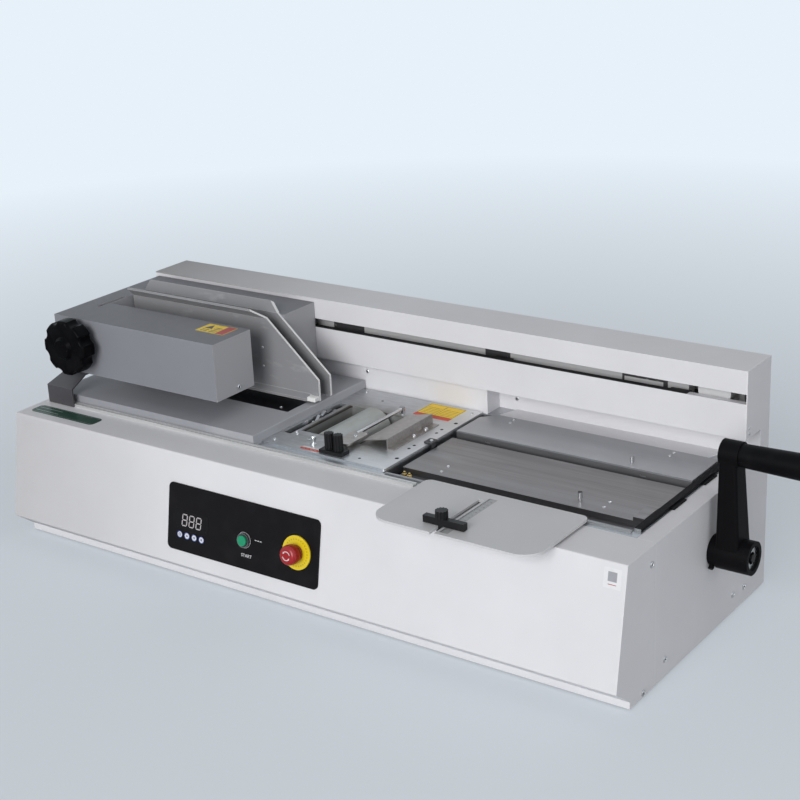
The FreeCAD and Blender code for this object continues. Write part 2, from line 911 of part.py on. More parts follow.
# Belt drive: two pulleys, a closed belt and the gear motor
def pulley(x, solid_shaft):
    start = Vector(x, pulley_y[0], pulley_axis_z)
    end = Vector(x, pulley_y[1], pulley_axis_z)
    wheel = rod(pulley_radius - slide_gap, start, end)
    if solid_shaft:
        return wheel.fuse(rod(pulley_bore, end - y_axis * drive_shaft_length, end))
    return wheel.cut(rod(pulley_bore, start - y_axis * overrun, end + y_axis * overrun))


def stadium(radius, y):
    """A closed racetrack block round both pulley centres."""
    low = Vector(idler_pulley_x, y[0], pulley_axis_z)
    high = Vector(drive_pulley_x, y[0], pulley_axis_z)
    run = y_axis * (y[1] - y[0])
    block = box((low.x, high.x), y, (pulley_axis_z - radius, pulley_axis_z + radius))
    return block.fuse(rod(radius, low, low + run)).fuse(rod(radius, high, high + run))


def belt_drive():
    save("idler_pulley", pulley(idler_pulley_x, False))
    save("drive_pulley", pulley(drive_pulley_x, True))
    belt_y = about(sum(pulley_y) / 2, belt_width)
    wide = (belt_y[0] - overrun, belt_y[1] + overrun)
    save("drive_belt", stadium(pulley_radius + belt_thickness, belt_y).cut(stadium(pulley_radius, wide)))
    face = bracket_y[0]
    back = Vector(drive_pulley_x, face, pulley_axis_z)
    gearbox = box(about(drive_pulley_x, gearbox_side), (face - gearbox_length, face),
                  about(pulley_axis_z, gearbox_side))
    can = rod(motor_radius, back - y_axis * motor_length, back - y_axis * gearbox_length)
    motor = gearbox.fuse(can)
    shaft_end = pulley_y[1] - drive_shaft_length - slide_gap
    motor = motor.cut(rod(pulley_bore + running_gap, Vector(drive_pulley_x, shaft_end, pulley_axis_z),
                          back + y_axis * overrun))
    save("drive_motor", motor)


def limit_sensors():
    """Two end-of-travel switches that stand behind the beam's lower lip."""
    floor = beam_bottom + sheet + beam_plate_thickness
    low_y = beam_front_y + beam_lip + slide_gap
    sensors = []
    for x in sensor_xs:
        body = box(about(x, sensor_length), (low_y, low_y + sensor_size / 2),
                   (beam_slot_low - sensor_size, beam_slot_low - slide_gap))
        stem = box(about(x, sensor_size), (low_y, low_y + sensor_stem),
                   (floor, beam_slot_low - sensor_size))
        sensors.append(body.fuse(stem))
    save("limit_sensors", *sensors)


belt_drive()
limit_sensors()


# Left deck with its well, the jog plate and the ledge rail
def left_deck():
    slab = box((deck_left_x, deck_right_x), (seam_y, deck_rear_y),
               (ledge_height, ledge_height + deck_thickness))
    top = [edge for edge in slab.Edges
           if abs(edge.CenterOfMass.z - ledge_height - deck_thickness) < face_gap]
    slab = slab.makeFillet(deck_edge, top)
    well = box((jog_left_x, jog_right_x), (jog_front_y, jog_rear_y),
               (ledge_height - overrun, ledge_height + deck_thickness + overrun))
    save("left_deck", slab.cut(well))


def jog_plate():
    plate = box((jog_left_x + face_gap, jog_right_x - face_gap),
                (jog_front_y + face_gap, jog_rear_y - face_gap),
                (ledge_height, ledge_height + jog_plate_thickness))
    save("jog_plate", plate)


def ledge_rail():
    low = seam_y - ledge_rail_setback - ledge_rail_width
    high = seam_y - ledge_rail_setback
    top = ledge_height + ledge_rail_height
    rail = box((ledge_rail_left_x, ledge_rail_right_x), (low, high), (ledge_height, top))
    groove = box((ledge_rail_left_x - overrun, ledge_rail_right_x + overrun),
                 about((low + high) / 2, ledge_rail_groove), (top - ledge_rail_groove_depth, top + overrun))
    save("ledge_rail", rail.cut(groove))


left_deck()
jog_plate()
ledge_rail()


# Middle plate over the cutter and the glue tank
def mid_plate():
    low_x = deck_right_x + face_gap
    through = (ledge_height - overrun, mid_plate_top + overrun)
    plate = box((low_x, mid_plate_right_x), (mid_plate_front_y, deck_rear_y - sheet),
                (ledge_height, mid_plate_top))
    plate = round_upright(plate, mid_plate_corner)
    opening = box((tank_opening_left_x, tank_opening_right_x),
                  (tank_opening_front_y, tank_opening_rear_y), through)
    plate = plate.cut(round_upright(opening, tank_opening_corner))
    slot = box(about(cutter_x, 2 * cutter_slot_half), (cutter_slot_front_y, cutter_slot_rear_y), through)
    save("mid_plate", plate.cut(slot))


def glue_tank():
    low = Vector(tank_opening_left_x - tank_wall, tank_opening_front_y - tank_wall, 0)
    high = Vector(tank_opening_right_x + tank_wall, tank_opening_rear_y + tank_wall, 0)
    bottom = ledge_height - tank_depth
    tank = box((low.x, high.x), (low.y, high.y), (bottom, ledge_height))
    tank = tank.cut(box((low.x + tank_wall, high.x - tank_wall), (low.y + tank_wall, high.y - tank_wall),
                        (bottom + tank_floor, ledge_height + overrun)))
    bore = rod(roller_shaft_radius + running_gap, Vector(roller_x, low.y - overrun, roller_z),
               Vector(roller_x, high.y + overrun, roller_z))
    heater = box((low.x + heater_inset, high.x - heater_inset),
                 (low.y + heater_inset, high.y - heater_inset), (bottom - heater_thickness, bottom))
    save("glue_tank", tank.cut(bore).fuse(heater))


def glue_roller():
    front = tank_opening_front_y + roller_end_gap
    rear = tank_opening_rear_y - roller_end_gap
    start = Vector(roller_x, front, roller_z)
    end = Vector(roller_x, rear, roller_z)
    drum = rod(roller_radius, start, end)
    drum = drum.makeChamfer(roller_edge, round_edges(drum))
    drum = drum.fuse(rod(roller_shaft_radius, start - y_axis * roller_shaft_stub,
                         end + y_axis * roller_shaft_stub))
    save("glue_roller", drum)
    gear_face = end + y_axis * (roller_shaft_stub + roller_end_gap)
    motor = rod(roller_motor_radius, gear_face, gear_face + y_axis * roller_motor_length)
    sleeve = rod(roller_shaft_radius + tank_wall, tank_rear_face, gear_face)
    sleeve = sleeve.cut(rod(roller_shaft_radius + running_gap, tank_rear_face - y_axis * overrun,
                            end + y_axis * (roller_shaft_stub + slide_gap)))
    return motor.fuse(sleeve)


roller_z = roller_top - roller_radius
tank_rear_face = Vector(roller_x, tank_opening_rear_y + tank_wall, roller_z)
mid_plate()
glue_tank()
gear_motor = glue_roller()


# Wiping rod on two small posts, scraper bracket, glue guard and adjusters
def wiper():
    bar = rod(wiper_radius, Vector(wiper_x, wiper_front_y, wiper_z),
              Vector(wiper_x, wiper_rear_y, wiper_z))
    post = rod(wiper_post_radius, Vector(wiper_x, wiper_rear_y, mid_plate_top),
               Vector(wiper_x, wiper_rear_y, wiper_z + wiper_radius))
    save("wiper_rod", bar.fuse(post))


def scraper_bracket():
    plate = box((scraper_left_x, scraper_right_x), (scraper_front_y, scraper_rear_y),
                (scraper_bottom, scraper_bottom + scraper_thickness))
    plate = round_upright(plate, scraper_corner)
    leg = box((scraper_right_x - scraper_corner - scraper_leg, scraper_right_x - scraper_corner),
              (scraper_front_y + scraper_corner, tank_opening_front_y - scraper_corner),
              (mid_plate_top, scraper_bottom))
    bracket = plate.fuse(leg)
    bracket = bracket.cut(rod(wiper_radius, Vector(wiper_x, wiper_front_y, wiper_z),
                              Vector(wiper_x, wiper_rear_y, wiper_z)))
    save("scraper_bracket", bracket)


def glue_guard():
    foot_x = guard_right_x + guard_foot
    path = [(guard_left_x, guard_low_z), (guard_right_x, guard_high_z), (guard_right_x, mid_plate_top),
            (foot_x, mid_plate_top)]
    outline = folded(path, guard_sheet)
    save("glue_guard", prism(outline, "y", guard_front_y, guard_rear_y))


def adjusters():
    base = box((adjuster_left_x, adjuster_right_x), (adjuster_front_y, adjuster_rear_y),
               (mid_plate_top, mid_plate_top + adjuster_height))
    y = (adjuster_front_y + adjuster_rear_y) / 2
    top = mid_plate_top + adjuster_height
    for x in thumb_xs:
        base = base.cut(rod(thumb_stem_radius + running_gap, Vector(x, y, mid_plate_top - overrun),
                            Vector(x, y, top + overrun)))
    save("adjuster_base", base)
    for number, x in enumerate(thumb_xs, 1):
        foot = Vector(x, y, top + slide_gap)
        knob = rod(thumb_radius, foot, foot + z_axis * thumb_height)
        for flute in range(thumb_flutes):
            turn = 2 * math.pi * flute / thumb_flutes
            spot = Vector(x + thumb_radius * math.cos(turn), y + thumb_radius * math.sin(turn), top)
            knob = knob.cut(rod(thumb_flute_radius, spot, spot + z_axis * (thumb_height + overrun)))
        knob = knob.fuse(rod(thumb_stem_radius, Vector(x, y, top - thumb_stem_length),
                             foot + z_axis * thumb_height / 2))
        save("thumb_screw_%d" % number, knob)


wiper()
scraper_bracket()
glue_guard()
adjusters()


# Milling cutter: a toothed disc whose rim stands through the slot, and its motor
def milling_cutter():
    points = []
    for tooth in range(cutter_teeth):
        start = 2 * math.pi * tooth / cutter_teeth
        step = 2 * math.pi / cutter_teeth
        for radius, share in ((cutter_radius, 0),
                              (cutter_radius - cutter_tooth_depth, cutter_gullet_share)):
            turn = start + step * share
            points.append((cutter_y + radius * math.sin(turn), cutter_z + radius * math.cos(turn)))
    disc = prism(points, "x", *about(cutter_x, cutter_thickness))
    low = Vector(cutter_x - cutter_thickness / 2 - cutter_shaft_reach, cutter_y, cutter_z)
    high = Vector(cutter_x + cutter_thickness / 2 + tank_lap, cutter_y, cutter_z)
    hub = rod(cutter_hub_radius, Vector(cutter_x, cutter_y, cutter_z), high)
    shaft = rod(cutter_bore - running_gap, low - x_axis * cutter_hub_radius, high)
    save("milling_cutter", disc.fuse(hub).fuse(shaft))


def cutter_motor():
    face = Vector(bulkhead_cutter_x, cutter_y, cutter_z)
    face = face - x_axis * bulkhead_thickness
    back = face - x_axis * cutter_motor_length
    motor = rod(cutter_motor_radius, back, face)
    for rib in range(cutter_motor_ribs):
        turn = 2 * math.pi * rib / cutter_motor_ribs
        spot = Vector(back.x - overrun, cutter_y + cutter_motor_radius * math.cos(turn),
                      cutter_z + cutter_motor_radius * math.sin(turn))
        motor = motor.cut(rod(cutter_motor_rib, spot, spot + x_axis * (cutter_motor_length - overrun)))
    reach = cutter_x - cutter_thickness / 2 - cutter_shaft_reach - cutter_hub_radius - slide_gap
    motor = motor.cut(rod(cutter_bore, Vector(reach, cutter_y, cutter_z), face + x_axis * overrun))
    return motor


milling_cutter()
save("base_motors", cutter_motor(), gear_motor)


# Nipping table: base, two nip plates, pins, the side bar, the front rail and the guide posts
def nip_table():
    bottom = table_top - table_thickness
    base = box((table_left_x, table_right_x), (table_front_y, table_rear_y), (bottom, table_top))
    for x, y in post_places:
        hole = rod(guide_post_radius + slide_gap, Vector(x, y, bottom - overrun),
                   Vector(x, y, bottom + guide_post_reach + slide_gap))
        base = base.cut(hole)
    save("nip_table", base)


def register_pin(x, y, foot):
    """A stepped pin that stands on a nip plate."""
    place = Vector(x, y, foot)
    neck = place + z_axis * (register_pin_height * register_neck_share)
    pin = rod(register_pin_neck, place, neck)
    return pin.fuse(rod(register_pin_radius, neck, place + z_axis * register_pin_height))


def rear_nip_plate():
    low = table_left_x
    outline = [(low, rear_nip_front_y), (table_right_x, rear_nip_front_y),
               (table_right_x, table_rear_y), (low + rear_nip_chamfer, table_rear_y),
               (low, table_rear_y - rear_nip_chamfer)]
    plate = prism(outline, "z", table_top, rear_nip_top)
    front_edge = [edge for edge in straight_edges(plate, x_axis)
                  if abs(edge.CenterOfMass.y - rear_nip_front_y) < face_gap
                  and abs(edge.CenterOfMass.z - rear_nip_top) < face_gap]
    plate = plate.makeFillet(nip_edge, front_edge)
    for x in nip_slot_xs:
        plate = plate.cut(box(about(x, nip_slot_length),
                              (rear_nip_front_y - overrun, rear_nip_front_y + nip_edge),
                              about((table_top + rear_nip_top) / 2, nip_slot_height)))
    save("rear_nip_plate", plate.fuse(register_pin(rear_pin_x, rear_pin_y, rear_nip_top)))


def front_nip_plate():
    bottom = table_top + slide_gap
    low = table_left_x
    plate = box((low, table_right_x), (front_nip_front_y, front_nip_rear_y), (bottom, front_nip_top))
    block = box((table_right_x - front_block_length, table_right_x),
                (front_nip_front_y, front_nip_front_y + front_block_width),
                (front_nip_top, front_nip_top + front_block_height))
    plate = plate.fuse(block).removeSplitter()
    rear_edge = [edge for edge in straight_edges(plate, x_axis)
                 if abs(edge.CenterOfMass.y - front_nip_rear_y) < face_gap
                 and abs(edge.CenterOfMass.z - front_nip_top) < face_gap]
    plate = plate.makeFillet(nip_edge, rear_edge)
    save("front_nip_plate", plate.fuse(register_pin(front_pin_x, front_pin_y, front_nip_top)))


def side_bar():
    low = table_opening_x[1]
    length = table_rear_y - table_front_y
    bar = box((low, low + side_bar_width), (table_front_y, table_rear_y),
              (ledge_height, ledge_height + side_bar_height))
    for start, end in side_bar_tab_shares:
        tab = box((low, low + side_bar_width + side_bar_tab),
                  (table_front_y + start * length, table_front_y + end * length),
                  (ledge_height, ledge_height + side_bar_height / 2))
        bar = bar.fuse(tab)
    return bar


def table_front_rail():
    high_y = table_opening_y[0] - face_gap
    rail = box((table_left_x, table_opening_x[1]), (high_y - table_rail_width, high_y),
               (ledge_height, ledge_height + table_rail_height - slide_gap))
    return rail


def guide_posts():
    posts = []
    for x, y in post_places:
        foot = Vector(x, y, pan_top)
        post = rod(guide_post_foot_radius, foot, foot + z_axis * guide_post_foot)
        head = Vector(x, y, table_top - table_thickness + guide_post_reach)
        posts.append(post.fuse(rod(guide_post_radius, foot, head)))
    save("guide_posts", *posts)


post_places = [(x, y) for x in (table_left_x + guide_post_inset, table_right_x - guide_post_inset)
               for y in (table_front_y + guide_post_inset, table_rear_y - guide_post_inset)]
nip_table()
rear_nip_plate()
front_nip_plate()
save("table_border", side_bar(), table_front_rail())
guide_posts()


# Side lever: shaft with two lift cams, collar, arm, grip and end cap
def lift_cam(x):
    """A cam whose reach grows evenly with the turn, so the table rises evenly too."""
    points = []
    start_reach = table_top - table_thickness - slide_gap - lever_axis_z
    for step in range(cam_steps + 1):
        turn = math.radians(cam_lift_angle) * step / cam_steps
        reach = start_reach + cam_base_radius * turn
        points.append((reach * math.sin(turn) + cam_base_radius * math.cos(turn),
                       reach * math.cos(turn) - cam_base_radius * math.sin(turn)))
    curve = Part.BSplineCurve()
    low = about(x, cam_width)[0]
    spots = [Vector(low, lever_axis_y + a, lever_axis_z + b) for a, b in points]
    curve.interpolate(spots)
    first = spots[0]
    last = spots[-1]
    heel_start = Vector(low, lever_axis_y - shaft_radius - bulkhead_thickness, lever_axis_z + shaft_radius)
    heel_low = Vector(low, lever_axis_y, lever_axis_z - shaft_radius - bulkhead_thickness)
    bulge = Vector(0, cam_base_radius, -cam_base_radius) * cam_heel_share
    edges = [curve.toShape(), Part.Arc(last, (last + heel_low) / 2 + bulge, heel_low).toShape(),
             Part.Arc(heel_low, Vector(low, heel_start.y, lever_axis_z - shaft_radius / 2),
                      heel_start).toShape(),
             Part.LineSegment(heel_start, first).toShape()]
    return Part.Face(Part.Wire(edges)).extrude(x_axis * cam_width)


def lever_shaft():
    start = Vector(bulkhead_mid_x - bulkhead_thickness - face_gap, lever_axis_y, lever_axis_z)
    end = Vector(half_length + lever_collar_length + hub_length - hub_recess, lever_axis_y,
                 lever_axis_z)
    shaft = rod(shaft_radius, start, end)
    for x in cam_xs:
        shaft = shaft.fuse(lift_cam(x))
    washer = rod(hub_radius - hub_wall - face_gap, end - x_axis * washer_thickness, end)
    save("lever_shaft", shaft.fuse(washer))


def shaft_bearings():
    bushes = []
    for x, side in ((bulkhead_mid_x, -1), (bulkhead_right_x, 1)):
        inner = x + side * bulkhead_thickness
        low = min(x, inner)
        start = Vector(low - (bearing_length - bulkhead_thickness) / 2, lever_axis_y, lever_axis_z)
        bush = rod(bearing_radius, start, start + x_axis * bearing_length)
        bore = rod(shaft_radius + running_gap, start - x_axis * overrun,
                   start + x_axis * (bearing_length + overrun))
        bushes.append(bush.cut(bore))
    save("shaft_bearings", *bushes)


def lever_collar():
    start = Vector(half_length + slide_gap, lever_axis_y, lever_axis_z)
    end = Vector(half_length + lever_collar_length - face_gap, lever_axis_y, lever_axis_z)
    ring = rod(lever_collar_radius, start, end)
    ring = ring.cut(rod(shaft_radius, start - x_axis * overrun, end + x_axis * overrun))
    out = Vector(0, -1, -1).normalize()
    middle = (start + end) / 2
    screw = rod(collar_screw_radius, middle + out * (shaft_radius + collar_screw_radius),
                middle + out * (lever_collar_radius + collar_screw_length))
    save("lever_collar", ring.fuse(screw))


def lever_arm():
    low_x = half_length + lever_collar_length
    hub_start = Vector(low_x, lever_axis_y, lever_axis_z)
    hub_end = hub_start + x_axis * hub_length
    eye_z = lever_axis_z + arm_length
    blade = []
    for z, width, depth in ((lever_axis_z, arm_low_width, arm_low_depth),
                            (eye_z, arm_high_width, arm_high_depth)):
        y = about(lever_axis_y, depth)
        corners = [Vector(low_x, y[0], z), Vector(low_x + width, y[0], z),
                   Vector(low_x + width, y[1], z), Vector(low_x, y[1], z)]
        blade.append(Part.makePolygon(corners + corners[:1]))
    arm = Part.makeLoft(blade, True, True)
    slant = [edge for edge in arm.Edges if edge.BoundBox.ZLength > arm_length / 2]
    arm = arm.makeFillet(arm_edge, slant)
    arm = arm.fuse(rod(hub_radius, hub_start, hub_end))
    eye_start = Vector(low_x, lever_axis_y, eye_z)
    arm = arm.fuse(rod(eye_radius, eye_start, eye_start + x_axis * eye_length))
    arm = arm.cut(rod(shaft_radius, hub_start - x_axis * overrun, hub_end + x_axis * overrun))
    arm = arm.cut(rod(hub_radius - hub_wall, hub_end - x_axis * (hub_recess + washer_thickness),
                      hub_end + x_axis * overrun))
    socket = eye_start + x_axis * (eye_length - grip_spigot_length)
    arm = arm.cut(rod(grip_spigot_radius, socket, socket + x_axis * eye_length))
    save("lever_arm", arm)
    grip_start = eye_start + x_axis * eye_length
    grip_end = grip_start + x_axis * grip_length
    grip = cone(grip_base_radius, grip_end_radius, grip_start, grip_end)
    rim = [edge for edge in round_edges(grip) if edge.CenterOfMass.x > grip_end.x - overrun]
    grip = grip.makeFillet(grip_end_round, rim)
    save("lever_grip", grip.fuse(rod(grip_spigot_radius, socket, grip_start + x_axis * overrun)))


lever_shaft()
shaft_bearings()
lever_collar()
lever_arm()


# Control panel, its display, keys, start button and emergency stop
def control_panel():
    plate = box((panel_left_x, panel_right_x), (-panel_low, -panel_high), (0, panel_thickness))
    plate = round_upright(plate, panel_corner)
    hole_low = Vector(0, 0, -overrun)
    for key in range(key_count):
        spot = Vector(key_first_x + key * key_pitch, -key_down, panel_thickness)
        plate = plate.fuse(rod(key_radius, spot, spot + z_axis * key_stand))
    for x, down in ((start_x, start_down), (estop_x, estop_down)):
        spot = Vector(x, -down, 0)
        plate = plate.cut(rod(start_barrel_radius, spot + hole_low, spot - hole_low))
    for x in (board_left_x + board_post_inset, board_right_x - board_post_inset):
        for down in (display_high - board_post_inset, key_down + key_radius + board_post_inset):
            plate = plate.fuse(rod(board_post_radius, Vector(x, -down, -board_gap),
                                   Vector(x, -down, 0)))
    save("control_panel", on_front(plate))
    board = box((board_left_x, board_right_x),
                (-key_down - key_radius - 2 * board_post_inset, -display_high + 2 * board_post_inset),
                (-board_gap - board_thickness, -board_gap))
    return on_front(board)


def start_button():
    spot = Vector(start_x, -start_down, 0)
    face = spot + z_axis * panel_thickness
    bezel = rod(start_bezel_radius, face, face + z_axis * start_bezel_height)
    body = bezel.fuse(rod(start_barrel_radius, spot - z_axis * start_barrel_length, face))
    pocket = face - z_axis * (start_travel + start_cap_stand)
    body = body.cut(rod(start_cap_radius + slide_gap, pocket, face + z_axis * overrun))
    cap = rod(start_cap_radius, pocket + z_axis * (start_travel + slide_gap),
              face + z_axis * (start_bezel_height + start_cap_stand))
    save("start_cap", on_front(cap))
    return on_front(body)


def emergency_stop():
    spot = Vector(estop_x, -estop_down, 0)
    face = spot + z_axis * panel_thickness
    ring_top = face + z_axis * estop_ring_thickness
    ring = rod(estop_ring_radius, face, ring_top)
    collar = rod(estop_collar_radius, face, face + z_axis * estop_collar_height)
    body = ring.fuse(collar).fuse(rod(start_barrel_radius, spot - z_axis * estop_barrel_length, face))
    bore_foot = spot - z_axis * (estop_barrel_length - switch_wall)
    body = body.cut(rod(estop_stem_radius + running_gap, bore_foot,
                        ring_top + z_axis * estop_collar_height))
    stem_foot = bore_foot + z_axis * (estop_travel + slide_gap)
    head_low = face + z_axis * estop_head_low
    head_top = head_low + z_axis * estop_head_height
    plug_top = head_top - z_axis * estop_head_wall
    stem = rod(estop_stem_radius, stem_foot, plug_top - z_axis * slide_gap)
    save("stop_stem", on_front(stem))
    head = rod(estop_head_radius, head_low, head_top)
    dome = [edge for edge in round_edges(head) if edge.CenterOfMass.z > head_low.z + slide_gap]
    head = head.makeFillet(estop_dome, dome)
    head = head.cut(rod(estop_stem_radius + running_gap, head_low - z_axis * overrun, plug_top))
    save("stop_head", on_front(head))
    return on_front(body)


panel_board = control_panel()
save("switch_bodies", start_button(), emergency_stop())


# Feed shelf on the ledge, its ruler, and the stop that slides in its slot
def feed_shelf():
    plate = box((shelf_left_x, shelf_right_x), (shelf_front_y, shelf_rear_y),
                (shelf_bottom, shelf_bottom + shelf_thickness))
    uprights = straight_edges(plate, z_axis)
    middle_y = (shelf_front_y + shelf_rear_y) / 2
    front = [edge for edge in uprights if edge.CenterOfMass.y < middle_y]
    plate = plate.makeFillet(shelf_front_radius, front)
    rear = [edge for edge in straight_edges(plate, z_axis)
            if edge.CenterOfMass.y > shelf_rear_y - face_gap]
    plate = plate.makeFillet(shelf_rear_radius, rear)
    for x in (shelf_left_x + shelf_foot_inset, shelf_right_x - shelf_foot_inset):
        plate = plate.fuse(box(about(x, shelf_foot_width),
                               (front_y + shelf_foot_width, seam_y - shelf_foot_width),
                               (ledge_height, shelf_bottom)))
    slot = box(about(shelf_slot_x, shelf_slot_width), (shelf_front_y - overrun, shelf_slot_rear_y),
               (shelf_bottom - overrun, shelf_bottom + shelf_thickness + overrun))
    save("feed_shelf", plate.cut(slot))


def shelf_stop():
    top = shelf_bottom + shelf_thickness
    foot = top + stop_lift
    rear = stop_front_y + stop_depth
    bar = box((shelf_slot_x - stop_left, shelf_slot_x + stop_right), (stop_front_y, rear),
              (foot, foot + stop_height))
    y = (stop_front_y + rear) / 2
    nut_top = shelf_bottom - slide_gap
    guide = box(about(shelf_slot_x, shelf_slot_width - 2 * slide_gap), (stop_front_y, rear),
                (nut_top, foot))
    nut = box(about(shelf_slot_x, 2 * stop_nut_radius), (stop_front_y, rear),
              (nut_top - stop_nut_thickness, nut_top))
    bar = bar.fuse(guide).fuse(nut)
    bar = bar.cut(rod(stop_screw_radius + running_gap,
                      Vector(shelf_slot_x, y, nut_top - stop_nut_thickness + slide_gap),
                      Vector(shelf_slot_x, y, foot + stop_height + overrun)))
    save("shelf_stop", bar)
    knob_foot = Vector(shelf_slot_x, y, foot + stop_height + slide_gap)
    knob = rod(stop_knob_radius, knob_foot, knob_foot + z_axis * stop_knob_height)
    for flute in range(stop_knob_flutes):
        turn = 2 * math.pi * flute / stop_knob_flutes
        spot = knob_foot + Vector(stop_knob_radius * math.cos(turn), stop_knob_radius * math.sin(turn), 0)
        knob = knob.cut(rod(stop_knob_flute, spot - z_axis * face_gap,
                            spot + z_axis * (stop_knob_height + face_gap)))
    knob = knob.fuse(rod(stop_screw_radius, Vector(shelf_slot_x, y, shelf_bottom),
                         knob_foot + z_axis * stop_lip))
    save("stop_knob", knob)


feed_shelf()
shelf_stop()


# Clamp carriage: a U-shaped base plate under one folded cover
def carriage_outline(inset):
    """The U seen from above, drawn in from its edge by an inset."""
    points = [(carriage_left_x, carriage_front_y), (carriage_right_x, carriage_front_y),
              (carriage_right_x, front_box_rear_y), (jaw_bay_left_x, front_box_rear_y),
              (jaw_bay_left_x, rear_box_front_y), (carriage_right_x, rear_box_front_y),
              (carriage_right_x, carriage_rear_y), (carriage_left_x, carriage_rear_y)]
    return shifted(points, inset, True) if inset else points


def carriage_cover():
    skin = prism(carriage_outline(0), "z", carriage_bottom, carriage_top)
    room = prism(carriage_outline(carriage_sheet), "z", carriage_bottom - overrun,
                 carriage_top - carriage_sheet)
    cover = skin.cut(room)
    cuts = [box(about(slit_x, slit_width), (slit_front_y, slit_rear_y),
                (carriage_top - overrun, carriage_top + overrun)),
            rod(screw_radius + slide_gap, Vector(screw_x, carriage_front_y - overrun, screw_z),
                Vector(screw_x, carriage_front_y + overrun, screw_z)),
            rod(nut_radius + slide_gap, Vector(screw_x, front_box_rear_y - overrun, screw_z),
                Vector(screw_x, front_box_rear_y + overrun, screw_z))]
    for x in jaw_rod_xs:
        cuts.append(rod(jaw_rod_radius + slide_gap, Vector(x, front_box_rear_y - overrun, jaw_rod_z),
                        Vector(x, front_box_rear_y + overrun, jaw_rod_z)))
    for low in slide_block_xs:
        cuts.append(box((low - slide_gap, low + slide_block_length + slide_gap),
                        (carriage_rear_y - overrun, carriage_rear_y + overrun),
                        (arm_z - slide_gap, arm_z + arm_thickness + slide_gap)))
    for cut in cuts:
        cover = cover.cut(cut)
    save("carriage_cover", cover)


def carriage_base():
    return prism(carriage_outline(carriage_sheet + face_gap), "z", carriage_bottom, base_top)


def slide_blocks():
    """Two sleeves on the rail, each with an arm through the slot and a foot on the base plate."""
    blocks = []
    for low in slide_block_xs:
        x = (low, low + slide_block_length)
        reach = slide_gap + slide_wall
        sleeve = box(x, (rail_y[0] - reach, rail_y[1] + reach),
                     (rail_bottom - reach, rail_bottom + rail_height + reach))
        bore = box((x[0] - overrun, x[1] + overrun), (rail_y[0] - slide_gap, rail_y[1] + slide_gap),
                   (rail_bottom - slide_gap, rail_bottom + rail_height + slide_gap))
        foot_y = carriage_rear_y - carriage_sheet - slide_foot_inset
        arm = box(x, (foot_y, rail_y[0] - slide_gap), (arm_z, arm_z + arm_thickness))
        foot = box(x, (foot_y - slide_foot_thickness, foot_y), (base_top, arm_z + arm_thickness))
        blocks.append(sleeve.cut(bore).fuse(arm).fuse(foot))
    save("slide_blocks", blocks[0], blocks[1].fuse(belt_clamp()))


def belt_clamp():
    low = slide_block_xs[1] + slide_block_length / 2 - belt_clamp_length / 2
    x = (low, low + belt_clamp_length)
    wall = rail_y[1] + slide_gap + slide_wall
    top_strand = pulley_axis_z + pulley_radius + belt_thickness
    plate = box(x, (wall, wall + belt_clamp_thickness),
                (rail_bottom, top_strand + slide_gap + belt_clamp_thickness))
    plate = plate.cut(box((x[0] - overrun, x[1] + overrun),
                          (wall + belt_clamp_thickness / 2, wall + overrun),
                          (rail_bottom - overrun, top_strand - overrun)))
    tab = box(x, (wall, pulley_y[1]),
              (top_strand + slide_gap, top_strand + slide_gap + belt_clamp_thickness))
    return plate.fuse(tab)


def foot_bracket():
    """A bent plate from the carriage base down to the ledge rail."""
    front = seam_y - ledge_rail_setback - ledge_rail_width - foot_bracket_front_gap
    floor = ledge_height + foot_bracket_floor_gap
    flange_z = carriage_bottom
    bend_y = carriage_front_y - foot_bracket_sheet
    path = [(front, floor), (front, foot_bracket_low_top), (bend_y, flange_z),
            (bend_y + foot_bracket_flange, flange_z)]
    plate = prism(folded(path, -foot_bracket_sheet), "x", foot_bracket_left_x, foot_bracket_right_x)
    left = foot_bracket_left_x
    notch = [(left - overrun, foot_bracket_low_top), (left, foot_bracket_low_top),
             (left + foot_bracket_chamfer, flange_z + overrun), (left - overrun, flange_z + overrun)]
    save("foot_bracket", plate.cut(prism(notch, "y", front - overrun, bend_y)))


carriage_rear_y = beam_front_y - carriage_beam_gap
base_top = carriage_bottom + carriage_base_thickness
carriage_cover()
slide_blocks()
foot_bracket()


# Jaws, guide rods, screw and handwheel
def jaw(face_y, out):
    """One jaw plate with a sloped right end and a flared top lip; out is away from the pages."""
    sides = sorted((face_y, face_y + out * jaw_thickness))
    outline = [(jaw_left_x, jaw_bottom), (jaw_right_x, jaw_bottom), (jaw_right_x, jaw_knee_z),
               (jaw_slope_x, jaw_shoulder_z), (jaw_left_x, jaw_shoulder_z)]
    plate = prism(outline, "y", *sides)
    root = face_y
    tip = face_y + out * jaw_lip_reach
    path = [(root, jaw_shoulder_z - jaw_thickness), (root, jaw_shoulder_z), (tip, jaw_lip_z)]
    lip = prism(folded(path, -out * jaw_thickness), "x", jaw_left_x, jaw_slope_x)
    corner = [(jaw_slope_x, jaw_shoulder_z), (jaw_slope_x + overrun, jaw_lip_z + overrun),
              (jaw_slope_x - jaw_lip_set - overrun, jaw_lip_z + overrun),
              (jaw_slope_x - jaw_lip_set, jaw_lip_z)]
    reach = sorted((face_y - out * overrun, tip + out * overrun))
    lip = lip.cut(prism(corner, "y", *reach))
    return plate.fuse(lip)


def jaws():
    save("rear_jaw", jaw(rear_box_front_y - jaw_thickness, 1))
    front = jaw(front_jaw_face, -1)
    outer = front_jaw_face - jaw_thickness
    foot = [(outer, jaw_bottom), (outer, jaw_bottom + 2 * jaw_foot_rise),
            (outer - jaw_foot_reach, jaw_bottom + jaw_thickness), (outer - jaw_foot_reach, jaw_bottom)]
    front = front.fuse(prism(foot, "x", jaw_left_x, jaw_right_x - pad_block_width))
    save("front_jaw", front)


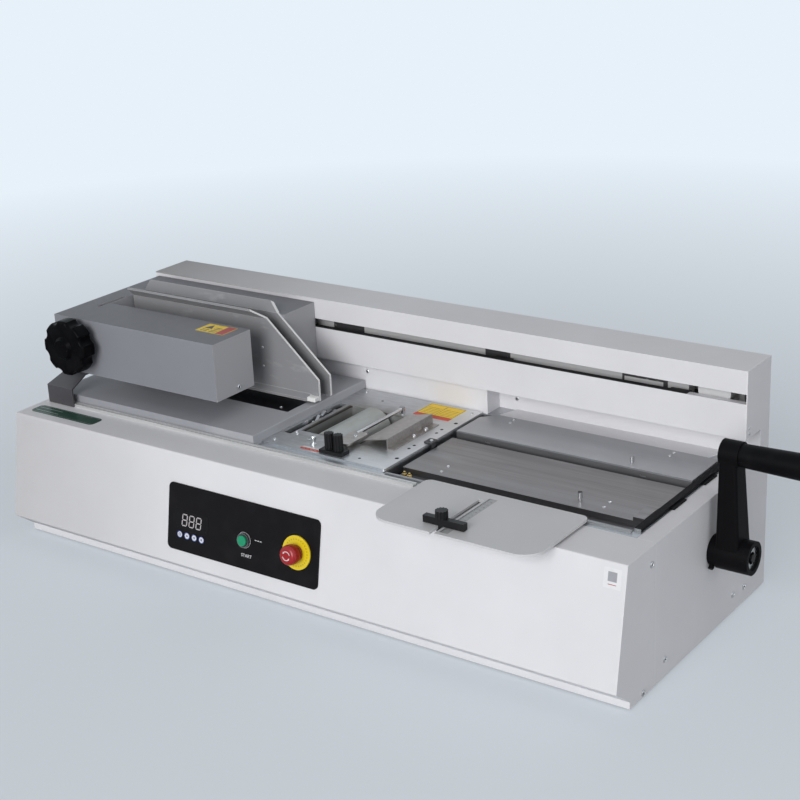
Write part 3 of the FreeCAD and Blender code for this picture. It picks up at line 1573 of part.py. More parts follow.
def jaw_rods():
    outer = front_jaw_face - jaw_thickness
    rods = [rod(jaw_rod_radius, Vector(x, carriage_front_y + jaw_rod_front_set, jaw_rod_z),
                Vector(x, outer, jaw_rod_z)) for x in jaw_rod_xs]
    tube = rod(nut_radius, Vector(screw_x, outer - nut_length, screw_z),
               Vector(screw_x, outer, screw_z))
    bore = rod(screw_radius + running_gap, Vector(screw_x, outer - nut_length - overrun, screw_z),
               Vector(screw_x, outer, screw_z))
    save("jaw_guides", *rods, tube.cut(bore))


def carriage_frame():
    """The base plate with the blocks that carry the guide rods and the screw."""
    frame = carriage_base()
    high_y = front_box_rear_y - carriage_sheet - face_gap
    for x in jaw_rod_xs:
        block = box(about(x, bush_block_width), (high_y - bush_block_depth, high_y),
                    (base_top, bush_block_top))
        bore = rod(jaw_rod_radius + running_gap,
                   Vector(x, high_y - bush_block_depth - overrun, jaw_rod_z),
                   Vector(x, high_y + overrun, jaw_rod_z))
        frame = frame.fuse(block.cut(bore))
    front = carriage_front_y + carriage_sheet + face_gap
    block = box(about(screw_x, screw_bearing_width), (front, front + screw_bearing_depth),
                (base_top, screw_z + screw_bearing_width / 2))
    bore = rod(screw_radius + running_gap, Vector(screw_x, front - overrun, screw_z),
               Vector(screw_x, front + screw_bearing_depth + overrun, screw_z))
    save("carriage_frame", frame.fuse(block.cut(bore)))


def handwheel():
    front = Vector(screw_x, wheel_front_y, screw_z)
    back = front + y_axis * wheel_thickness
    wheel = rod(wheel_radius, front, back)
    for lobe in range(wheel_lobes):
        turn = 2 * math.pi * (lobe + 0.5) / wheel_lobes
        set_out = wheel_radius + wheel_scallop_set
        spot = front + Vector(set_out * math.cos(turn), -overrun, set_out * math.sin(turn))
        wheel = wheel.cut(rod(wheel_scallop_radius, spot,
                              spot + y_axis * (wheel_thickness + 2 * overrun)))
    rims = [edge for edge in wheel.Edges if edge.BoundBox.YLength < face_gap]
    wheel = wheel.makeFillet(wheel_edge, rims)
    hub_end = Vector(screw_x, carriage_front_y - wheel_hub_gap, screw_z)
    hub = rod(wheel_hub_radius, back - y_axis * wheel_edge, hub_end)
    hub = hub.cut(rod(screw_radius, back, hub_end + y_axis * overrun))
    dome = cone(wheel_dome_radius - wheel_dome_height, wheel_dome_radius,
                front - y_axis * wheel_dome_height, front)
    save("handwheel", wheel.fuse(hub).fuse(dome))
    tip = Vector(screw_x, front_jaw_face - jaw_thickness - screw_tip_set, screw_z)
    save("clamp_screw", rod(screw_radius, back, tip))


front_jaw_face = rear_box_front_y - jaw_thickness - jaw_gap
jaws()
jaw_rods()
carriage_frame()
handwheel()


# Power inlet with its rocker switch, supply and control board
def power_entry():
    flange = box(about(inlet_x, inlet_width), (rear_y, rear_y + inlet_flange), about(inlet_z, inlet_height))
    body = box(about(inlet_x, inlet_body_width), (rear_y - inlet_body_depth, rear_y),
               about(inlet_z, inlet_body_height))
    inlet = flange.fuse(body).removeSplitter()
    face = rear_y + inlet_flange
    socket_z = inlet_z - inlet_socket_height / 2 - rocker_set
    back = face - inlet_socket_depth
    inlet = inlet.cut(box(about(inlet_x, inlet_socket_width), (back, face + overrun),
                          about(socket_z, inlet_socket_height)))
    for step in (-1, 0, 1):
        x = inlet_x + step * inlet_pin_pitch
        z = socket_z + (inlet_pin if step == 0 else -inlet_pin)
        pin = box(about(x, inlet_pin), (back, back + inlet_pin_length), about(z, 2 * inlet_pin))
        inlet = inlet.fuse(pin)
    inlet = inlet.cut(box(about(inlet_x, rocker_width + 2 * rocker_gap),
                          (face - rocker_depth - rocker_gap, face + overrun),
                          about(rocker_z, rocker_height + 2 * rocker_gap)))
    save("power_inlet", inlet)
    half = rocker_height / 2
    rise = half * math.tan(math.radians(rocker_tilt))
    deep = face - rocker_depth + rise
    outline = [(deep, rocker_z - half), (face - rise, rocker_z - half), (face, rocker_z),
               (face + rise, rocker_z + half), (deep + rise, rocker_z + half)]
    save("power_rocker", prism(outline, "x", *about(inlet_x, rocker_width)))


def inner_parts():
    x = (table_left_x + table_right_x - supply_length) / 2
    y = seam_y + supply_front_set
    supply = box((x, x + supply_length), (y, y + supply_width), (pan_top, pan_top + supply_height))
    x = -half_length + control_left_set
    y = seam_y + control_front_set
    top = pan_top + control_post
    board = box((x, x + control_length), (y, y + control_width), (top, top + control_thickness))
    for a in (x + control_post, x + control_length - control_post):
        for b in (y + control_post, y + control_width - control_post):
            board = board.fuse(rod(board_post_radius, Vector(a, b, pan_top), Vector(a, b, top)))
    low_x = x + 2 * control_post
    low_y = y + 2 * control_post
    board = board.fuse(box((low_x, low_x + relay_length), (low_y, low_y + relay_width),
                           (top, top + control_thickness + relay_height)))
    save("electronics", supply, board, panel_board)


rocker_z = inlet_z + rocker_height / 2 + rocker_gap + rocker_set
power_entry()
inner_parts()
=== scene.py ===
"""Desktop hot-melt book binder, dressed for its picture: every sheet, plate, screw and label gets its finish.

Lengths are in metres, and mm turns millimetres into them. X runs along the machine, Y towards its back, Z up.
"""
import math

import bmesh
import bpy
from mathutils import Matrix, Vector


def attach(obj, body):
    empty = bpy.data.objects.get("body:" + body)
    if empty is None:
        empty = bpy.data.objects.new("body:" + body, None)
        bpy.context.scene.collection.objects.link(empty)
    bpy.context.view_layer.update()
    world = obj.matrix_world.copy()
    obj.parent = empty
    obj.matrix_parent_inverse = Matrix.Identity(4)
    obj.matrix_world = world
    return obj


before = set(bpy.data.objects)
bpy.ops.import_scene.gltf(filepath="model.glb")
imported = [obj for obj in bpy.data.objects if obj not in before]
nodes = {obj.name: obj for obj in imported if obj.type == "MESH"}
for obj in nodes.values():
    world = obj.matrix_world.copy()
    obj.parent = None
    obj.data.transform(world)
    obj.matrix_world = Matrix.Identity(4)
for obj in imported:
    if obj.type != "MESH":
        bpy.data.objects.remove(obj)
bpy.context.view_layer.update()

mm = 0.001

# Camera: a long lens from the front right, a little above the machine and turned slightly on its axis.
camera_turn, camera_height, camera_roll = (math.radians(angle) for angle in (36.34, 20.38, -2.74))
camera_spot = Vector((1.5396, -2.006, 1.2192))
camera_film, camera_lens = 36, 73.935
forward = Vector((-math.sin(camera_turn) * math.cos(camera_height),
                  math.cos(camera_turn) * math.cos(camera_height), -math.sin(camera_height)))
level_right = forward.cross(Vector((0, 0, 1))).normalized()
level_up = level_right.cross(forward)
camera_right = math.cos(camera_roll) * level_right + math.sin(camera_roll) * level_up
camera_up = math.cos(camera_roll) * level_up - math.sin(camera_roll) * level_right
camera = bpy.data.objects.new("camera", bpy.data.cameras.new("camera"))
camera.data.sensor_width = camera_film
camera.data.lens = camera_lens
camera.matrix_world = (Matrix.Translation(camera_spot)
                       @ Matrix((camera_right, camera_up, -forward)).transposed().to_4x4())
bpy.context.scene.collection.objects.link(camera)
bpy.context.scene.camera = camera
bpy.context.scene.view_settings.view_transform = "Standard"


# Studio: a pale floor that runs out of sight and takes the machine's soft shadow.
# A wide soft lamp stands in front, a little to the right, with weak ones at the right and above.
class Socket:
    """One output in a node tree. Sums on it are worked out by the tree's own nodes."""

    def __init__(self, tree, output):
        self.tree = tree
        self.output = output

    def sum(self, operation, first, second=0.0):
        return self.tree.node("ShaderNodeMath", {"operation": operation}, {0: first, 1: second})

    def __add__(self, other):
        return self.sum("ADD", self, other)

    def __sub__(self, other):
        return self.sum("SUBTRACT", self, other)

    def __rsub__(self, other):
        return self.sum("SUBTRACT", other, self)

    def __mul__(self, other):
        return self.sum("MULTIPLY", self, other)

    def __pow__(self, other):
        return self.sum("POWER", self, other)

    def __mod__(self, other):
        return self.sum("FLOORED_MODULO", self, other)

    def __gt__(self, other):
        return self.sum("GREATER_THAN", self, other)

    def __lt__(self, other):
        return self.sum("LESS_THAN", self, other)

    def __or__(self, other):
        return self.sum("MAXIMUM", self, other)

    def between(self, low, high):
        """1 from low to high and 0 elsewhere."""
        return (self > low) * (self < high)

    def rise(self, low, high):
        """Goes from 0 at low to 1 at high, and stays there."""
        return self.tree.node("ShaderNodeMapRange", {}, {0: self, 1: low, 2: high})


class Tree:
    """A node tree, of a finish or of the room."""

    def __init__(self, tree):
        self.nodes, self.links = tree.nodes, tree.links

    def node(self, kind, settings, values, output=0):
        made = self.nodes.new(kind)
        for setting, value in settings.items():
            setattr(made, setting, value)
        for socket, value in values.items():
            self.join(made.inputs[socket], value)
        return Socket(self, made.outputs[output])

    def join(self, socket, value):
        if isinstance(value, Socket):
            self.links.new(value.output, socket)
        elif socket.type == "RGBA":
            socket.default_value = (*value, 1)
        else:
            socket.default_value = value


class Finish(Tree):
    """A surface finish. Fixed numbers are set on its shader, and what varies over it is fed to it."""

    sockets = {"colour": "Base Color", "roughness": "Roughness", "metallic": "Metallic",
               "normal": "Normal", "shine": "Specular IOR Level", "coat": "Coat Weight",
               "coat_roughness": "Coat Roughness",
               "glow": "Emission Strength", "glow_colour": "Emission Color"}

    def __init__(self, name, **fixed):
        self.material = bpy.data.materials.new(name)
        self.material.use_nodes = True
        super().__init__(self.material.node_tree)
        self.shader = self.nodes["Principled BSDF"]
        for part, value in fixed.items():
            self.feed(part, value)

    def feed(self, part, value):
        self.join(self.shader.inputs[self.sockets[part]], value)

    def spot(self):
        """The point on the surface, in metres."""
        return self.node("ShaderNodeTexCoord", {}, {}, "Object")

    def split(self, vector):
        """A vector's X, Y and Z."""
        parts = self.node("ShaderNodeSeparateXYZ", {}, {0: vector}).output.node.outputs
        return [Socket(self, part) for part in parts]

    def axes(self):
        """The point's X, Y and Z, in metres."""
        return self.split(self.spot())

    def facing(self):
        """The X, Y and Z of the way the surface faces."""
        return self.split(self.node("ShaderNodeNewGeometry", {}, {}, "Normal"))

    def noise(self, scale, detail=2.0, stretch=(1, 1, 1)):
        """Cloudy noise, from 0 to 1, with about that many lumps to the metre."""
        spot = self.node("ShaderNodeMapping", {}, {"Vector": self.spot(), "Scale": stretch})
        return self.node("ShaderNodeTexNoise", {}, {"Vector": spot, "Scale": scale, "Detail": detail})

    def mix(self, share, first, second):
        """Colour first where share is 0, and second where it is 1."""
        return self.node("ShaderNodeMix", {"data_type": "RGBA"}, {0: share, 6: first, 7: second}, 2)

    def bump(self, height, depth):
        """Raises the surface by height times depth, in metres."""
        self.feed("normal", self.node("ShaderNodeBump", {}, {"Distance": depth, "Height": height}))

    def edges(self, radius):
        """1 along edges that stand out, and 0 further than radius from them."""
        eased = self.node("ShaderNodeBevel", {"samples": 4}, {"Radius": radius})
        flat = self.node("ShaderNodeNewGeometry", {}, {}, "Normal")
        match = self.node("ShaderNodeVectorMath", {"operation": "DOT_PRODUCT"}, {0: eased, 1: flat}, "Value")
        return (1 - match).rise(0.01, 0.12)


def shade(colour, share):
    """A colour made lighter or darker."""
    return tuple(min(1.0, share * part) for part in colour)


backdrop_colour = (0.80, 0.88, 0.95)
floor_near, floor_end, floor_reach = 0.9, 3.2, 40
floor_finish = Finish("pale_floor", roughness=0.75)
floor_cloud = floor_finish.noise(1.5, 3.0)
floor_finish.feed("colour", floor_finish.mix(floor_cloud, (0.60, 0.63, 0.66), (0.63, 0.66, 0.69)))
floor_x, floor_y = floor_finish.axes()[:2]
floor_far = ((floor_x * floor_x + floor_y * floor_y) ** 0.5).rise(floor_near, floor_end)
floor_seen = floor_finish.node("ShaderNodeLightPath", {}, {}, "Is Camera Ray")
floor_lit = Socket(floor_finish, floor_finish.shader.outputs[0])
floor_white = floor_finish.node("ShaderNodeEmission", {}, {"Color": backdrop_colour})
floor_blend = floor_finish.node("ShaderNodeMixShader", {}, {0: floor_seen * (floor_far * 0.65 + 0.35),
                                                            1: floor_lit, 2: floor_white})
floor_finish.join(floor_finish.nodes["Material Output"].inputs[0], floor_blend)
floor_mesh = bmesh.new()
bmesh.ops.create_grid(floor_mesh, x_segments=8, y_segments=8, size=floor_reach)
floor_data = bpy.data.meshes.new("floor")
floor_mesh.to_mesh(floor_data)
floor_mesh.free()
floor_data.materials.append(floor_finish.material)
floor = bpy.data.objects.new("floor", floor_data)
bpy.context.scene.collection.objects.link(floor)

lamp_target = Vector((0, 0, 0.2))
for lamp_name, lamp_place, lamp_width, lamp_power in (("front_lamp", (1.5, -7.6, 2.9), 4.6, 470),
                                                      ("right_lamp", (3.6, -0.4, 1.1), 1.8, 10),
                                                      ("upper_lamp", (1.7, -0.2, 2.5), 1.8, 3)):
    lamp = bpy.data.objects.new(lamp_name, bpy.data.lights.new(lamp_name, "AREA"))
    lamp.data.size = lamp_width
    lamp.data.energy = lamp_power
    lamp.location = lamp_place
    lamp.rotation_euler = (lamp_target - lamp.location).to_track_quat("-Z", "Y").to_euler()
    bpy.context.scene.collection.objects.link(lamp)

world = bpy.data.worlds.new("studio")
bpy.context.scene.world = world
world.use_nodes = True
room = Tree(world.node_tree)
room_light = room.node("ShaderNodeBackground", {}, {"Color": (0.95, 0.97, 1.0), "Strength": 0.32})
room_shown = room.node("ShaderNodeBackground", {}, {"Color": backdrop_colour})
room_rays = [room.node("ShaderNodeLightPath", {}, {}, "Is %s Ray" % ray)
             for ray in ("Camera", "Glossy", "Transmission")]
room_mix = room.node("ShaderNodeMixShader", {}, {0: room_rays[0] | room_rays[1] | room_rays[2],
                                                 1: room_light, 2: room_shown})
room.join(room.nodes["World Output"].inputs[0], room_mix)


# White covers: 1.5 mm sheet steel, folded and powder-coated in one batch with a fine orange-peel skin.
# They lap at the corners and are held by pan-head screws with cross recesses, flush ones on the left side.
def powder_coat(name, colour, roughness, edge_highlight=0.9, **fixed):
    """Powder coat: a fine orange-peel skin, faint clouds of tone, and edges painted lighter by
    edge_highlight, a painted highlight.
    """
    coat = Finish(name, **fixed)
    clouds = coat.noise(7, 4.0)
    tone = coat.mix(clouds.rise(0.3, 0.7), shade(colour, 0.965), shade(colour, 1.03))
    # Edges are painted lighter where edge_highlight is above 1: a painted highlight.
    coat.tone = coat.mix(coat.edges(1.6 * mm) * 0.7, tone, shade(colour, edge_highlight))
    coat.feed("colour", coat.tone)
    coat.feed("roughness", coat.noise(45, 3.0) * 0.12 + (roughness - 0.06))
    coat.bump(coat.noise(800, 3.0), 0.05 * mm)
    return coat


def metal(name, colour, roughness, brushed=(1, 1, 1), streak=0.5, **fixed):
    """Plated or ground metal, with streaks along the way it was brushed and a thin film of handling marks."""
    steel = Finish(name, metallic=1.0, **fixed)
    streaks = steel.noise(320, 4.0, brushed)
    marks = steel.noise(16, 5.0)
    swing = 0.22 * streak
    tone = steel.mix(streaks.rise(0.3, 0.7), shade(colour, 1 - swing), shade(colour, 1 + swing))
    steel.feed("colour", steel.mix(marks.rise(0.5, 0.8) * 0.3, tone, shade(colour, 0.78)))
    steel.feed("roughness", streaks * (0.14 * streak) + marks * 0.14 + (roughness - 0.11))
    steel.bump(streaks, 0.02 * mm)
    return steel


def plastic(name, colour, roughness, **fixed):
    """Moulded plastic: a fine spark-eroded skin, slightly dusty, with edges polished by hands."""
    moulded = Finish(name, **fixed)
    skin = moulded.noise(1400, 2.0)
    dust = moulded.noise(30, 5.0)
    rubbed = moulded.edges(0.8 * mm)
    dusty = shade(tuple(part + 0.012 for part in colour), 1.1)
    polished = shade(tuple(part + 0.01 for part in colour), 1.25)
    tone = moulded.mix(dust.rise(0.45, 0.75) * 0.35, colour, dusty)
    moulded.feed("colour", moulded.mix(rubbed * 0.4, tone, polished))
    moulded.feed("roughness", dust * 0.16 - rubbed * 0.06 + (roughness - 0.05))
    moulded.bump(skin, 0.02 * mm)
    return moulded


def wear(finish, *names):
    """Puts a finish on nodes."""
    for name in names:
        slots = nodes[name].data.materials
        for index in range(len(slots)):
            slots[index] = finish.material


def aim(spot, outward):
    """A place at a spot in millimetres whose Z points outward.

    Its X runs along the machine, or towards the back on the machine's sides.
    """
    z = Vector(outward).normalized()
    y = z.cross(Vector((0, 1, 0) if abs(z.x) > 0.9 else (1, 0, 0))).normalized()
    return Matrix.Translation(Vector(spot) * mm) @ Matrix((y.cross(z), y, z)).transposed().to_4x4()


def skin(mesh, rows, finish=0):
    """Joins rows of points, each row closed on itself, by faces."""
    for low, high in zip(rows, rows[1:]):
        for step in range(len(low)):
            beside = (step + 1) % len(low)
            face = mesh.faces.new((low[step], low[beside], high[beside], high[step]))
            face.material_index = finish


def turned(mesh, profile, place, sides=32, finish=0):
    """Turns (radius, height) points, in millimetres, round the place's Z, and closes both ends."""
    rows = [[mesh.verts.new(place @ (Vector((radius * math.cos(math.tau * side / sides),
                                             radius * math.sin(math.tau * side / sides), height)) * mm))
             for side in range(sides)] for radius, height in profile]
    skin(mesh, rows, finish)
    for end in (rows[0][::-1], rows[-1]):
        mesh.faces.new(end).material_index = finish


def slab(mesh, outline, place, low, high, lip=0.0, finish=0):
    """A flat piece of an outline in millimetres, between two heights, its upper edge eased by lip."""
    middle = sum((Vector(point) for point in outline), Vector((0, 0))) / len(outline)
    steps = [(low, 0.0), (high - lip, 0.0)] + ([(high, lip)] if lip else [])
    rows = []
    for height, draw in steps:
        drawn = [Vector(point) + (middle - Vector(point)).normalized() * draw for point in outline]
        rows.append([mesh.verts.new(place @ (Vector((*point, height)) * mm)) for point in drawn])
    skin(mesh, rows, finish)
    for end in (rows[0][::-1], rows[-1]):
        mesh.faces.new(end).material_index = finish


def rounded(left, right, low, high, radius, steps=5):
    """The outline of a rectangle with rounded corners, in millimetres."""
    corners = ((right - radius, low + radius, -90), (right - radius, high - radius, 0),
               (left + radius, high - radius, 90), (left + radius, low + radius, 180))
    return [(x + radius * math.cos(math.radians(start + 90 * step / steps)),
             y + radius * math.sin(math.radians(start + 90 * step / steps)))
            for x, y, start in corners for step in range(steps + 1)]


def cross_screw(mesh, spot, outward, radius=3.6, rise=2.2, turn=20, sides=40, rings=10):
    """A screw head with a cross recess, in millimetres. Its rise is small where it is flush.

    The recess has the piece's second finish.
    """
    crown, under, arm_half, arm_reach, sunk = 0.5, -0.2, 0.22, 0.6, 0.3
    place = aim(spot, outward) @ Matrix.Rotation(math.radians(turn), 4, "Z")
    rows = []
    for ring in range(rings + 1, 0, -1):
        share = min(ring, rings) / rings
        row = []
        for side in range(sides):
            x = radius * share * math.cos(math.tau * side / sides)
            y = radius * share * math.sin(math.tau * side / sides)
            height = rise * (1 - crown * share ** 4) if ring <= rings else under
            if min(abs(x), abs(y)) < arm_half * radius and max(abs(x), abs(y)) < arm_reach * radius:
                height *= sunk
            row.append(mesh.verts.new(place @ (Vector((x, y, height)) * mm)))
        rows.append(row)
    skin(mesh, rows)
    mesh.faces.new(rows[-1])
    mesh.faces.new(rows[0][::-1])
    # The recess is drawn in the piece's second finish, a near-black that paints its shade.
    for width, length in ((0.44, 1.16), (1.16, 0.44)):
        half_x, half_y = width * radius / 2, length * radius / 2
        slab(mesh, [(-half_x, -half_y), (half_x, -half_y), (half_x, half_y), (-half_x, half_y)], place,
             -0.1, 0.42 * rise, finish=1)


def piece(name, mesh, finishes, body, place=None):
    """Makes gathered faces a piece that rides on a body. With a place, they were gathered in its axes."""
    sharp = 35
    data = bpy.data.meshes.new(name)
    bmesh.ops.recalc_face_normals(mesh, faces=mesh.faces)
    mesh.to_mesh(data)
    mesh.free()
    for finish in finishes:
        data.materials.append(finish.material)
    data.polygons.foreach_set("use_smooth", [True] * len(data.polygons))
    data.set_sharp_from_angle(angle=math.radians(sharp))
    made = bpy.data.objects.new(name, data)
    if place is not None:
        made.matrix_world = place
    bpy.context.scene.collection.objects.link(made)
    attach(made, body)
    return made


def lift(height):
    """A level place at a height in millimetres, for outlines in the machine's own X and Y."""
    return aim((0, 0, height), (0, 0, 1))


white_coat = powder_coat("white_powder_coat", (0.70, 0.695, 0.715), 0.46, 1.22, shine=0.25)
white_x, white_y, white_z = white_coat.axes()
beam_seam = (white_z.between(276.1 * mm, 277.6 * mm) * white_y.between(150 * mm, 166 * mm)
             * (white_x < 128 * mm))
# The beam's top and the front face are painted darker towards the left end: painted shade.
white_left_painted_shade = (1 - white_x.rise(-600 * mm, -150 * mm)) * ((white_z > 385 * mm) * 0.75
                                                         | (1 - white_y.rise(-231 * mm, -226 * mm)) * 0.35)
white_tone = white_coat.mix(white_left_painted_shade, white_coat.tone, (0.20, 0.19, 0.18))
white_coat.feed("colour", white_coat.mix(beam_seam * 0.8, white_tone, (0.16, 0.16, 0.17)))
wear(white_coat, "beam_cover", "beam_lower_front", "end_panels", "front_cover", "rear_cover", "riser_panel")
screw_steel = metal("screw_steel", (0.60, 0.60, 0.61), 0.3)
# A near-black finish for screw recesses, sockets and hole bottoms: painted shade.
hole_painted_shade = Finish("hole_shade_finish", roughness=0.85)
hole_painted_shade.feed("colour", hole_painted_shade.mix(hole_painted_shade.noise(300), (0.006, 0.006, 0.007), (0.014, 0.014, 0.015)))
side_face, beam_end_face, back_face = 600, 598.5, 230
to_right, to_left, to_back, to_front, up = (1, 0, 0), (-1, 0, 0), (0, 1, 0), (0, -1, 0), (0, 0, 1)
flush = 0.25
cover_screws = bmesh.new()
for y, z in ((-161, 200), (-118, 31), (-184, 9), (152, 29), (111, 33)):
    cross_screw(cover_screws, (side_face, y, z), to_right, 5.0, turn=y)
    cross_screw(cover_screws, (-side_face, y, z), to_left, 4.4, flush, z)
for y, z in ((156, 293), (156, 284)):
    cross_screw(cover_screws, (beam_end_face, y, z), to_right, 2.8, turn=z)
    cross_screw(cover_screws, (-beam_end_face, y, z), to_left, 2.8, 1.4, y)
for x, y, z in ((-121, 160, 262), (163, 198, 249)):
    cross_screw(cover_screws, (x, y, z), to_front, 3.4, 1.6)
for x in (-560, -300, 0, 300, 560):
    for z in (22, 262):
        cross_screw(cover_screws, (x, back_face, z), to_back, turn=x)
piece("cover_screws", cover_screws, [screw_steel, hole_painted_shade], "housing")


# Base tray, bulkheads and deck: zinc-plated steel sheet, folded, seen at edges and openings.
# The machine stands on moulded rubber pads pushed into the tray. The belt is of the same kind of rubber.
zinc = metal("zinc_plated_sheet", (0.50, 0.51, 0.53), 0.42)
wear(zinc, "chassis_plates", "deck_plate", "carriage_frame")


def rubber(name, *worn):
    """Moulded rubber: matt black, with a chalky bloom."""
    made = Finish(name, shine=0.3)
    grain = made.noise(900, 4.0)
    bloom = made.noise(25, 4.0).rise(0.45, 0.8)
    made.feed("colour", made.mix(bloom * 0.6 + grain * 0.3, (0.012, 0.012, 0.013), (0.035, 0.035, 0.036)))
    made.feed("roughness", grain * 0.2 + 0.62)
    made.bump(grain, 0.08 * mm)
    wear(made, *worn)
    return made


black_rubber = rubber("black_rubber", "rubber_pads", "drive_belt")


# Left deck: folded steel in grey powder coat, with a well for a black anodised jogging plate.
# A grooved aluminium rail is screwed along the ledge in front of it.
deck_coat = powder_coat("deck_powder_coat", (0.38, 0.385, 0.41), 0.42, 1.2, shine=0.4)
deck_x, deck_y, deck_z = deck_coat.axes()
# The deck's top at the left, under the front box, is painted darker: a painted shadow of the box.
deck_painted_shadow = ((1 - deck_x.rise(-240 * mm, -205 * mm)) * (1 - deck_y.rise(-80 * mm, -55 * mm))
                * (deck_z > 232 * mm))
deck_coat.feed("colour", deck_coat.mix(deck_painted_shadow * 0.28, deck_coat.tone, (0.13, 0.135, 0.165)))
wear(deck_coat, "left_deck")
jog_black = metal("black_anodised_plate", (0.13, 0.13, 0.14), 0.32, (0.05, 1, 1))
wear(jog_black, "jog_plate")
rail_aluminium = metal("rail_aluminium", (0.62, 0.62, 0.615), 0.42, (0.03, 1, 1))
rail_aluminium.feed("metallic", 0.45)
wear(rail_aluminium, "ledge_rail")
jog_top, rail_middle, rail_groove_floor = 233, -155.5, 231.4
deck_screws = bmesh.new()
for x, y in ((-193, 4), (-193, 56), (-486, 4), (-486, 56)):
    cross_screw(deck_screws, (x, y, jog_top), up, 2.8, 1.5, turn=x)
for x in (-575, -360, -140, 80, 185):
    cross_screw(deck_screws, (x, rail_middle, rail_groove_floor), up, 1.8, 0.9, turn=x)
piece("deck_screws", deck_screws, [screw_steel, hole_painted_shade], "housing")


# Middle plate: 3 mm steel, zinc-plated and laser-cut, stained by old glue round the tank's mouth.
# It carries a caution sticker without words and a strip label, and has spare holes along its right edge.
mid_steel = Finish("mid_plate_steel", metallic=0.85)
mid_x, mid_y = mid_steel.axes()[:2]
mid_streaks = mid_steel.noise(300, 4.0, (0.15, 1, 1))
mid_marks = mid_steel.noise(22, 6.0)
mid_stain = (mid_x.rise(-128 * mm, -90 * mm) * (1 - mid_x.rise(40 * mm, 100 * mm))
             * mid_y.rise(-118 * mm, -60 * mm) * (1 - mid_y.rise(70 * mm, 112 * mm)))
mid_glue = (mid_stain * mid_marks.rise(0.4, 0.62)) ** 0.8
mid_tone = mid_steel.mix(mid_streaks.rise(0.3, 0.7), (0.46, 0.47, 0.485), (0.57, 0.58, 0.595))
# The plate is painted lighter towards its right end: a painted reflection.
mid_tone = mid_steel.mix(mid_x.rise(10 * mm, 110 * mm) * 0.55, mid_tone, (0.86, 0.86, 0.87))
mid_tone = mid_steel.mix(mid_steel.edges(0.9 * mm) * 0.6, mid_tone, (0.72, 0.73, 0.75))
mid_tone = mid_steel.mix(mid_glue * 0.75, mid_tone, (0.20, 0.17, 0.13))
mouth_rim = mid_x.between(-98 * mm, 25 * mm) * mid_y.between(-60 * mm, 74 * mm)
mid_steel.feed("colour", mid_steel.mix(mouth_rim * 0.85, mid_tone, (0.05, 0.04, 0.03)))
mid_steel.feed("roughness", mid_streaks * 0.08 + mid_glue * 0.2 + 0.32)
mid_steel.bump(mid_streaks + mid_glue * 2, 0.03 * mm)
wear(mid_steel, "mid_plate")
plate_top = 231
hole_sides = 24
mid_details = bmesh.new()
for x, y, radius in ((110, 90, 3.4), (105, 56, 2.8), (106, 39, 2.8), (105, -23, 2.8), (105, -38, 2.8),
                     (112, -81, 3.4), (60, -110, 2.4), (-60, 118, 2.4)):
    hole_place, burr = aim((x, y, plate_top), up), radius + 0.6
    turned(mid_details, ((burr, -0.1), (burr, 0.06), (radius, 0.1)), hole_place, hole_sides)
    # A near-black disc inside each hole paints the shade of its depth.
    turned(mid_details, ((radius, -0.1), (radius - 0.1, 0.14)), hole_place, hole_sides, 1)
for x, y in ((-94, -75), (-101, -68), (-112, 142), (108, 142), (-112, -112)):
    cross_screw(mid_details, (x, y, plate_top), up, 2.8, 1.5, turn=y)
piece("mid_plate_details", mid_details, [screw_steel, hole_painted_shade], "housing")


def label(name, width, depth, place, colours, body, ink=None, radius=1.0, thick=0.2):
    """A printed vinyl label, width along the place's X and depth along its Y, from its corner.

    Each entry of colours is (the share of the depth where a band starts, colour). The ink is a list of
    (left, right, low, high) in millimetres, with the ink's colour first.
    """
    film = Finish(name + "_film", shine=0.25)
    x, y = film.axes()[:2]
    print_colour = colours[0][1]
    for start, colour in colours[1:]:
        print_colour = film.mix(y > start * depth * mm, print_colour, colour)
    if ink:
        marked = None
        for left, right, low, high in ink[1:]:
            mark = x.between(left * mm, right * mm) * y.between(low * mm, high * mm)
            marked = mark if marked is None else marked | mark
        print_colour = film.mix(marked * 0.9, print_colour, ink[0])
    grime = film.noise(120, 4.0).rise(0.5, 0.8)
    film.feed("colour", film.mix(grime * 0.12, print_colour, (0.12, 0.11, 0.10)))
    film.feed("roughness", grime * 0.15 + 0.35)
    film.bump(film.noise(90, 3.0), 0.1 * mm)
    sheet = bmesh.new()
    slab(sheet, rounded(0, width, 0, depth, radius), Matrix.Identity(4), 0, thick, 0.05)
    return piece(name, sheet, [film], body, place)


caution_ink = [(0.05, 0.035, 0.01)] + [(left, left + 29, low, low + 1.0) for left in (4, 39)
                                       for low in (17, 23, 29, 35, 41)]
caution_ink += [(35.5, 36.5, 12, 56), (1, 71, 11.6, 12.6), (1, 71, 55.4, 56.4), (1, 2, 12, 56),
                (70, 71, 12, 56)]
label("caution_label", 72, 58, aim((21, 92, plate_top), up),
      ((0, (0.66, 0.07, 0.03)), (0.2, (0.98, 0.66, 0.02))), "housing", caution_ink)
label("strip_label", 38, 12, aim((-52, -122, plate_top), up),
      ((0, (0.55, 0.07, 0.04)), (0.55, (0.74, 0.73, 0.72))), "housing",
      [(0.74, 0.73, 0.72)] + [(left, left + 5, 2.2, 3.2) for left in (4, 12, 20, 28)])
latch_top = plate_top + 2.5
latch = bmesh.new()
slab(latch, rounded(112, 128, -8, 12, 3), lift(0), plate_top, latch_top, 0.4)
slab(latch, rounded(121.3, 128, -5, 9, 2), lift(0), plate_top - 9, plate_top + 0.5, 0.4)
latch_black = metal("blackened_latch", (0.09, 0.09, 0.095), 0.38)
piece("plate_latch", latch, [latch_black], "housing")
latch_screw = bmesh.new()
cross_screw(latch_screw, (121, 3, latch_top), up, 3.0, 1.8)
piece("latch_screw", latch_screw, [screw_steel, hole_painted_shade], "housing")


